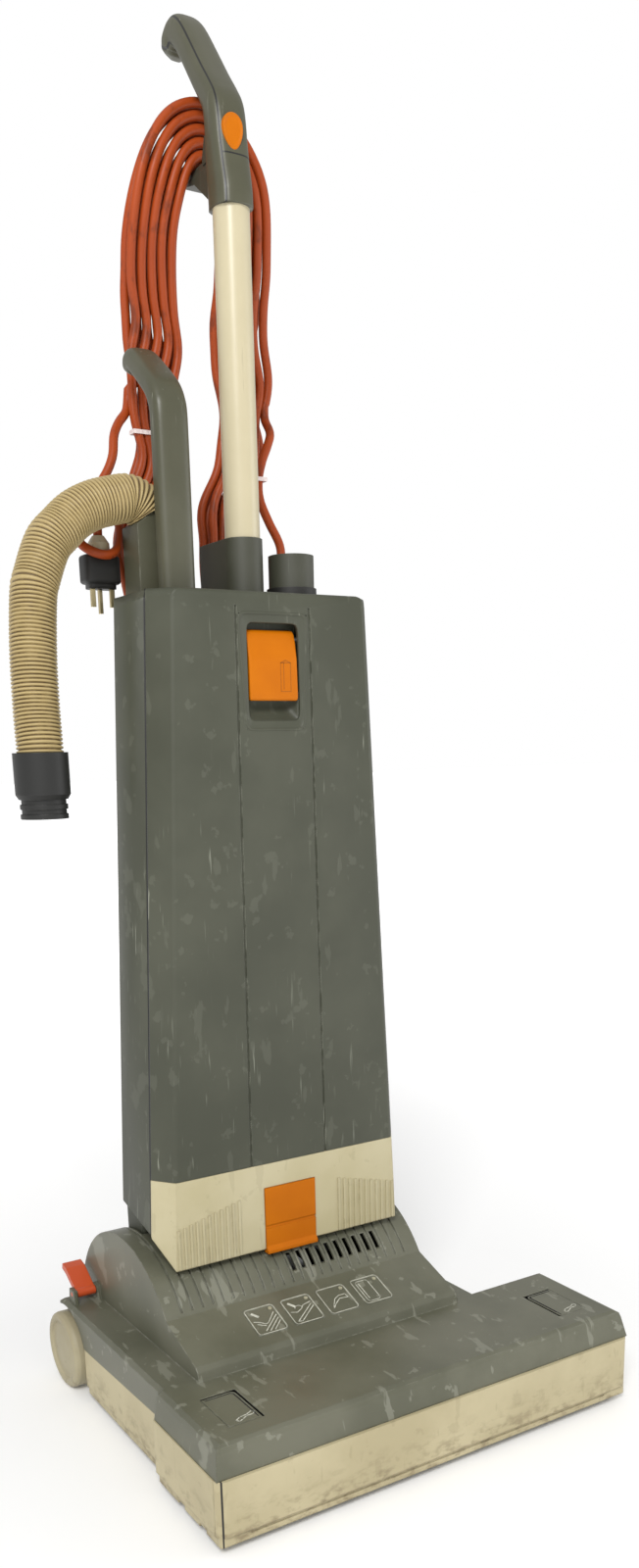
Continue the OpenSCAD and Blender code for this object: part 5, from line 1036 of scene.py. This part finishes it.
# %% Grip
GRIP_HALF_WIDTH = 16.5
GRIP_JOINT = 12
LINE_HALF = 0.5 * MM
LINE_DROP = 2.4 * MM
LINE_DARK = (0.012, 0.012, 0.012)
GRIP_ROWS = [
    [0, 0.15, 17.2, 1], [0, 6, 17.2, 1], [0.5, 13, 17.2, 1], [2.5, 30, 15.6, 1], [4, 48, 14, 1],
    [5, 64, 13, 1], [7.5, 76, 12, 1], [14, 86.5, 11.3, 0.98], [27, 103, 11, 0.96],
    [44, 125.5, 11, 0.93], [57, 142, 11.4, 0.9], [65, 150, 12, 0.88], [72, 154.5, 12, 0.86],
    [79, 154, 12, 0.83], [85, 149.5, 11.5, 0.8], [88, 145, 9, 0.62], [90, 141.6, 3, 0.2],
]


def grip_rings():
    """Rows are [behind the tube's axis, height over the foot, half depth, share of the half width]."""
    rows = smooth_path(GRIP_ROWS, 12)
    path = spots(np.column_stack([np.full(len(rows), BODY_X), TUBE_SETBACK + rows[:, 0],
                                  GRIP_FOOT + rows[:, 1]]))
    return rings_along(path, rows[:, 2] * MM, rows[:, 3] * GRIP_HALF_WIDTH * MM, 96, (1, 0, 0), 0.66)


def sink_line(rings, at, width, depth):
    """Sinks a groove of a bell-shaped section where the points cross the plane x = at."""
    middle = rings.mean(axis=1, keepdims=True)
    near = np.exp(-((rings[:, :, :1] - at) / width) ** 2)
    inward = middle - rings
    inward /= np.maximum(np.linalg.norm(inward, axis=2, keepdims=True), 1e-9)
    return rings + depth * near * inward


def grip_plastic(at, half):
    """The grey moulding with a dark line at x = at, where its two halves meet, and one across the
    front under the button."""
    material = finish["grey_parts"].copy()
    material.name = "grip_plastic"
    tree = material.node_tree
    shader = tree.nodes["Principled BSDF"]
    colour = shader.inputs["Base Color"].links[0].from_socket
    joint = near_plane(tree, "X", at, half, 0.6 * half)
    colour = blend_colours(tree, joint, colour, LINE_DARK)
    axis_y = FRONT + TUBE_SETBACK * MM
    front = ramp(tree, object_axis(tree, "Y"), axis_y - 4 * MM, axis_y - 6 * MM)
    right = ramp(tree, object_axis(tree, "X"), at, at + 1 * MM)
    under = near_plane(tree, "Z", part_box("grip_button")[0][2] - LINE_DROP, 0.4 * MM)
    colour = blend_colours(tree, times(tree, times(tree, front, right), under), colour, LINE_DARK)
    tree.links.new(colour, shader.inputs["Base Color"])
    return material


joint_x = (BODY_X - GRIP_JOINT) * MM
grip_shape = sink_line(grip_rings(), joint_x, LINE_HALF, LINE_HALF)
add_piece(ring_mesh("grip_shell", grip_shape), grip_plastic(joint_x, LINE_HALF), "body",
          ["grip_left", "grip_right"])

# %% [markdown]
# ## The switch button
# The button in the grip's front is egg-shaped, with a raised rim round a shallow dish. A flattened
# ball would have no rim, so it is made of rings: the outline is an oval whose width grows towards the
# top, and the rings run from its seat over the rim to its middle.

# %% Button
BUTTON_FILL = 0.985 / 1.03
BUTTON_EGG = 0.22
button_low, button_high = corners_of("grip_button")


def egg_button(rows, sides=96):
    """Rings of x = share w cos(t) (1 + egg sin(t)), z = share h sin(t), at a depth for each ring.
    rows are [share, depth from the front face in mm]."""
    rows = smooth_path(rows, 6)
    middle = (button_low + button_high) / 2
    half = (button_high - button_low) / 2
    t = np.linspace(0, 2 * np.pi, sides, endpoint=False)
    share = rows[:, :1]
    x = middle[0] + share * half[0] * BUTTON_FILL * np.cos(t) * (1 + BUTTON_EGG * np.sin(t))
    z = middle[2] + share * half[2] * np.sin(t)
    y = np.repeat(button_low[1] + rows[:, 1:] * MM, sides, axis=1)
    return np.stack([x, y, z], axis=-1)


BUTTON_ROWS = [[1, 5.9], [1, 3], [1, 1.2], [0.97, 0.4], [0.92, 0.02], [0.86, 0.15], [0.8, 0.45],
               [0.7, 0.75], [0.4, 0.9], [0.06, 0.9]]
add_piece(ring_mesh("switch_button", egg_button(BUTTON_ROWS)), finish["orange"], "switch",
          ["grip_button"])

# %% [markdown]
# ## The lift-out wand
# The wand is a straight bar with a drawn-back end, made as the grip is, from a table of rows and a
# squared oval along a bent line. Below it a round spigot stands in the body's seat.

# %% Wand
WAND_X = BODY_X - 66
WAND_HALF = (15.5, 10.0)
WAND_ROWS = [
    [0, 0.2, 1, 1], [0, 1.5, 1, 1], [0, 60, 1, 1], [0, 120, 1, 1], [0.5, 143, 1, 1], [3, 152, 1, 1],
    [8, 160.5, 0.98, 1], [16, 168.5, 0.96, 0.99], [30.5, 180.3, 0.95, 0.96], [42, 189, 0.95, 0.93],
    [48, 192.8, 0.95, 0.9], [53, 193.5, 0.92, 0.87], [57, 191, 0.86, 0.82], [60, 187, 0.7, 0.66],
    [61.4, 184.4, 0.25, 0.25],
]


def wand_rings():
    """Rows are [behind the seat's axis, height over the body, shares of the half depth and width]."""
    rows = smooth_path(WAND_ROWS, 10)
    path = spots(np.column_stack([np.full(len(rows), WAND_X), TUBE_SETBACK + rows[:, 0],
                                  BODY_TOP + rows[:, 1]]))
    return rings_along(path, rows[:, 2] * WAND_HALF[1] * MM, rows[:, 3] * WAND_HALF[0] * MM, 96,
                       (1, 0, 0), 0.62)


add_piece(ring_mesh("wand_bar", wand_rings()), finish["grey_parts"], "wand",
          ["wand_handle"])
SPIGOT_ROWS = [[-44.8, 8.2, 8.2], [-44, 9, 9], [-20, 9, 9], [1, 9, 9]]
spigot = upright([WAND_X, TUBE_SETBACK, BODY_TOP], SPIGOT_ROWS, 64, 1.0)
add_piece(ring_mesh("wand_spigot", spigot), finish["grey_parts"], "wand")

# %% [markdown]
# ## The dust bag
# Behind the front cover hangs a full paper bag. It swells between its seams and is creased. A cloth
# simulation could fill it, but it only shows when the cover is open, so a formula is enough: a squared
# oval whose size follows the height, with long shallow creases from sines.

# %% Bag
BAG_BOX = 0.45
WIDE_CREASE, FINE_CREASE = 0.016, 0.010


def bag_mesh():
    """Rings of a squared oval from foot to top: the size falls off near both ends as a high power
    of the height, and upright creases, wide and fine, run round it."""
    low, high = corners_of("filter_bag")
    middle, half = (low + high) / 2, (high - low) / 2
    up = np.linspace(-1, 1, 90)
    size = (1 - np.abs(up) ** 14) ** 0.35 * 0.98 + 0.02
    t = np.linspace(0, 2 * np.pi, 128, endpoint=False)
    crease = 1 - WIDE_CREASE * (1 + np.sin(9 * t[None, :] + 3 * np.sin(4 * up[:, None])))
    crease = crease - FINE_CREASE * (1 + np.sin(17 * t[None, :] + 6 * up[:, None]))
    size = size[:, None] * crease
    x = middle[0] + half[0] * size * squared(np.cos(t), BAG_BOX)[None, :]
    y = middle[1] + half[1] * size * squared(np.sin(t), BAG_BOX)[None, :]
    z = np.repeat(middle[2] + half[2] * up[:, None], len(t), axis=1)
    return ring_mesh("dust_bag", np.stack([x, y, z], axis=-1))


add_piece(bag_mesh(), finish["paper"], "body", ["filter_bag"])

# %% [markdown]
# ## Drawn signs
# The four fields on the sloped panel, the two release flaps and the latch carry small line drawings.
# Here they are plain made-up strokes. They could be painted in the material, but as geometry they
# stay sharp at any size. Each stroke is a thin closed bar that stands a tenth of a millimetre proud
# of its surface, and more round the fields.

# %% Strokes
SUNK = 0.3


def stroke_mesh(name, lines, width, origin, across, up, proud=0.1):
    """Bars along the stretches of polylines drawn in millimetres on a plane. Each bar has eight
    corners: its two ends, shifted by half the width to either side, under and over the plane."""
    across, up = (np.asarray(v, float) / np.linalg.norm(v) for v in (across, up))
    out = np.cross(across, up)
    ends = np.array([[a, b] for line in lines for a, b in zip(line[:-1], line[1:])], float)
    along = ends[:, 1] - ends[:, 0]
    along /= np.linalg.norm(along, axis=1, keepdims=True)
    side = np.column_stack([-along[:, 1], along[:, 0]]) * width / 2
    a, b = ends[:, 0] - along * width / 3, ends[:, 1] + along * width / 3
    flat = np.stack([a - side, b - side, b + side, a + side], axis=1)
    corners = origin + (flat[..., :1] * across + flat[..., 1:] * up) * MM
    verts = np.concatenate([corners - SUNK * MM * out, corners + proud * MM * out], axis=1)
    bar = np.array([[3, 2, 1, 0], [4, 5, 6, 7], [0, 1, 5, 4], [1, 2, 6, 5], [2, 3, 7, 6], [3, 0, 4, 7]])
    faces = (bar[None] + 8 * np.arange(len(ends))[:, None, None]).reshape(-1, 4)
    mesh = bpy.data.meshes.new(name)
    mesh.from_pydata(verts.reshape(-1, 3).tolist(), [], faces.tolist())
    return mesh


def arc_line(x, y, r, start, end, steps=12):
    """Points of an arc from one angle to another, in degrees."""
    a = np.radians(np.linspace(start, end, steps))
    return np.column_stack([x + r * np.cos(a), y + r * np.sin(a)]).tolist()


# %% Signs on the sloped panel
PANEL_SETBACK, PANEL_LOW_Z = 118, 106
PANEL_RISE = np.array([0, 57.5, 21.0])
SIGN_PITCH, SIGN_U, SIGN_RIGHT = 39.5, 30.5, 59
SIGN_WIDTH, BORDER_WIDTH, BAR_WIDTH = 0.8, 1.0, 2.6
BORDER_HALF_X, BORDER_HALF_Y, BORDER_ROUND, BORDER_PROUD = 15.2, 16.7, 3.5, 0.7
SIGNS = [
    [[[-12, 1], [-7, -1], [-2, -5], [1, -4], [12, 7]], [[-10, -3], [-3, -7]],
     [[-6, -13], [13, 3]], [[-2, -14], [13, -1]], [[3, -14], [13, -5]]],
    [[[-12, 0], [-6, -2], [0, 1], [4, 5], [13, 7]], [[-11, -13], [12, 4]], [[-7, -14], [13, 1]],
     [[-11, -13], [-7, -14]], arc_line(-2, 2, 4, 20, 160)],
    [[[-9, -10], [-7, -6], [-2, 1], [4, 4], [11, 4], [12, -1], [3, 0], [-4, -5], [-9, -10]]],
    [arc_line(-8, 11, 3, 90, 180) + arc_line(-8, -11, 3, 180, 270) + arc_line(0, -11, 3, 270, 360)
     + arc_line(0, 11, 3, 0, 90) + [[-8, 14]], [[-8, 11], [-8, -10]]],
]
SIGN_BARS = [[[[-9, 11], [-5, 6]]], [[[-9, 11], [-5, 6]]], [], []]
slope = PANEL_RISE / np.linalg.norm(PANEL_RISE)


def frame_line(half_x, half_y, r):
    """A closed outline with round corners."""
    corners = [(half_x - r, half_y - r, 0), (r - half_x, half_y - r, 90), (r - half_x, r - half_y, 180),
               (half_x - r, r - half_y, 270)]
    line = [point for x, y, turn in corners for point in arc_line(x, y, r, turn, turn + 90, 6)]
    return line + line[:1]


outline = [frame_line(BORDER_HALF_X, BORDER_HALF_Y, BORDER_ROUND)]
for i, lines in enumerate(SIGNS):
    place = np.array([BODY_X + SIGN_RIGHT - (3 - i) * SIGN_PITCH, PANEL_SETBACK, PANEL_LOW_Z])
    place = spots(place + slope * SIGN_U)
    sign = stroke_mesh("panel_sign_%d" % (i + 1), lines, SIGN_WIDTH, place, (1, 0, 0), slope)
    add_piece(sign, finish["print"], "base")
    border = stroke_mesh("sign_border_%d" % (i + 1), outline, BORDER_WIDTH, place, (1, 0, 0), slope,
                         BORDER_PROUD)
    add_piece(border, finish["faint_print"], "base")
    if SIGN_BARS[i]:
        bar = stroke_mesh("sign_bar_%d" % (i + 1), SIGN_BARS[i], BAR_WIDTH, place, (1, 0, 0), slope)
        add_piece(bar, finish["print"], "base")

# %% Signs on the flaps, and painted shade along their gaps
FLAP_SIGN_WIDTH, GAP_SHADE_WIDTH = 1.1, 0.9
GAP_SHADE_INSET, GAP_SHADE_CORNER = 2.5, 2
FLAP_SIGN = [[[-9, -4], [-4, -1], [3, 0], [9, 3], [11, 1], [8, -2], [2, -2], [-3, -5], [-7, -7],
              [-9, -4]]]
for side, inner in zip(SIDES, (1, -1)):
    low, high = corners_of("release_flap_" + side)
    middle = (low + high) / 2
    place = np.array([middle[0] + 3 * MM, low[1] + 10 * MM, high[2]])
    sign = stroke_mesh("flap_sign_" + side, FLAP_SIGN, FLAP_SIGN_WIDTH, place, (1, 0, 0), (0, 1, 0))
    add_piece(sign, finish["print"], side + "_flap")
    # A black L along two edges of each flap: painted shade for the deep shadow in the gap there.
    half_x, half_y = (high[:2] - low[:2]) / 2 / MM - GAP_SHADE_INSET
    corner = [[-inner * half_x, half_y], [inner * (half_x - GAP_SHADE_CORNER), half_y],
              [inner * half_x, half_y - GAP_SHADE_CORNER], [inner * half_x, -half_y]]
    place = np.array([middle[0], middle[1], high[2]])
    gap_shade = stroke_mesh("flap_gap_shade_" + side, [corner], GAP_SHADE_WIDTH, place, (1, 0, 0), (0, 1, 0))
    add_piece(gap_shade, finish["rubber"], side + "_flap")

# %% Sign on the latch
LATCH_SIGN_WIDTH = 0.6
LATCH_SIGN = [[[-5, -12], [5, -12], [5, 12], [-5, 12], [-5, -12]], [[-2, -10], [-2, 12]],
              [[-5, 12], [0, 14], [5, 12]]]
low, high = corners_of("cover_latch")
place = np.array([(low[0] + high[0]) / 2 + 12 * MM, low[1] + 1.4 * MM, low[2] + 20 * MM])
sign = stroke_mesh("latch_sign", LATCH_SIGN, LATCH_SIGN_WIDTH, place, (1, 0, 0), (0, 0, 1))
add_piece(sign, finish["dark_print"], "latch")
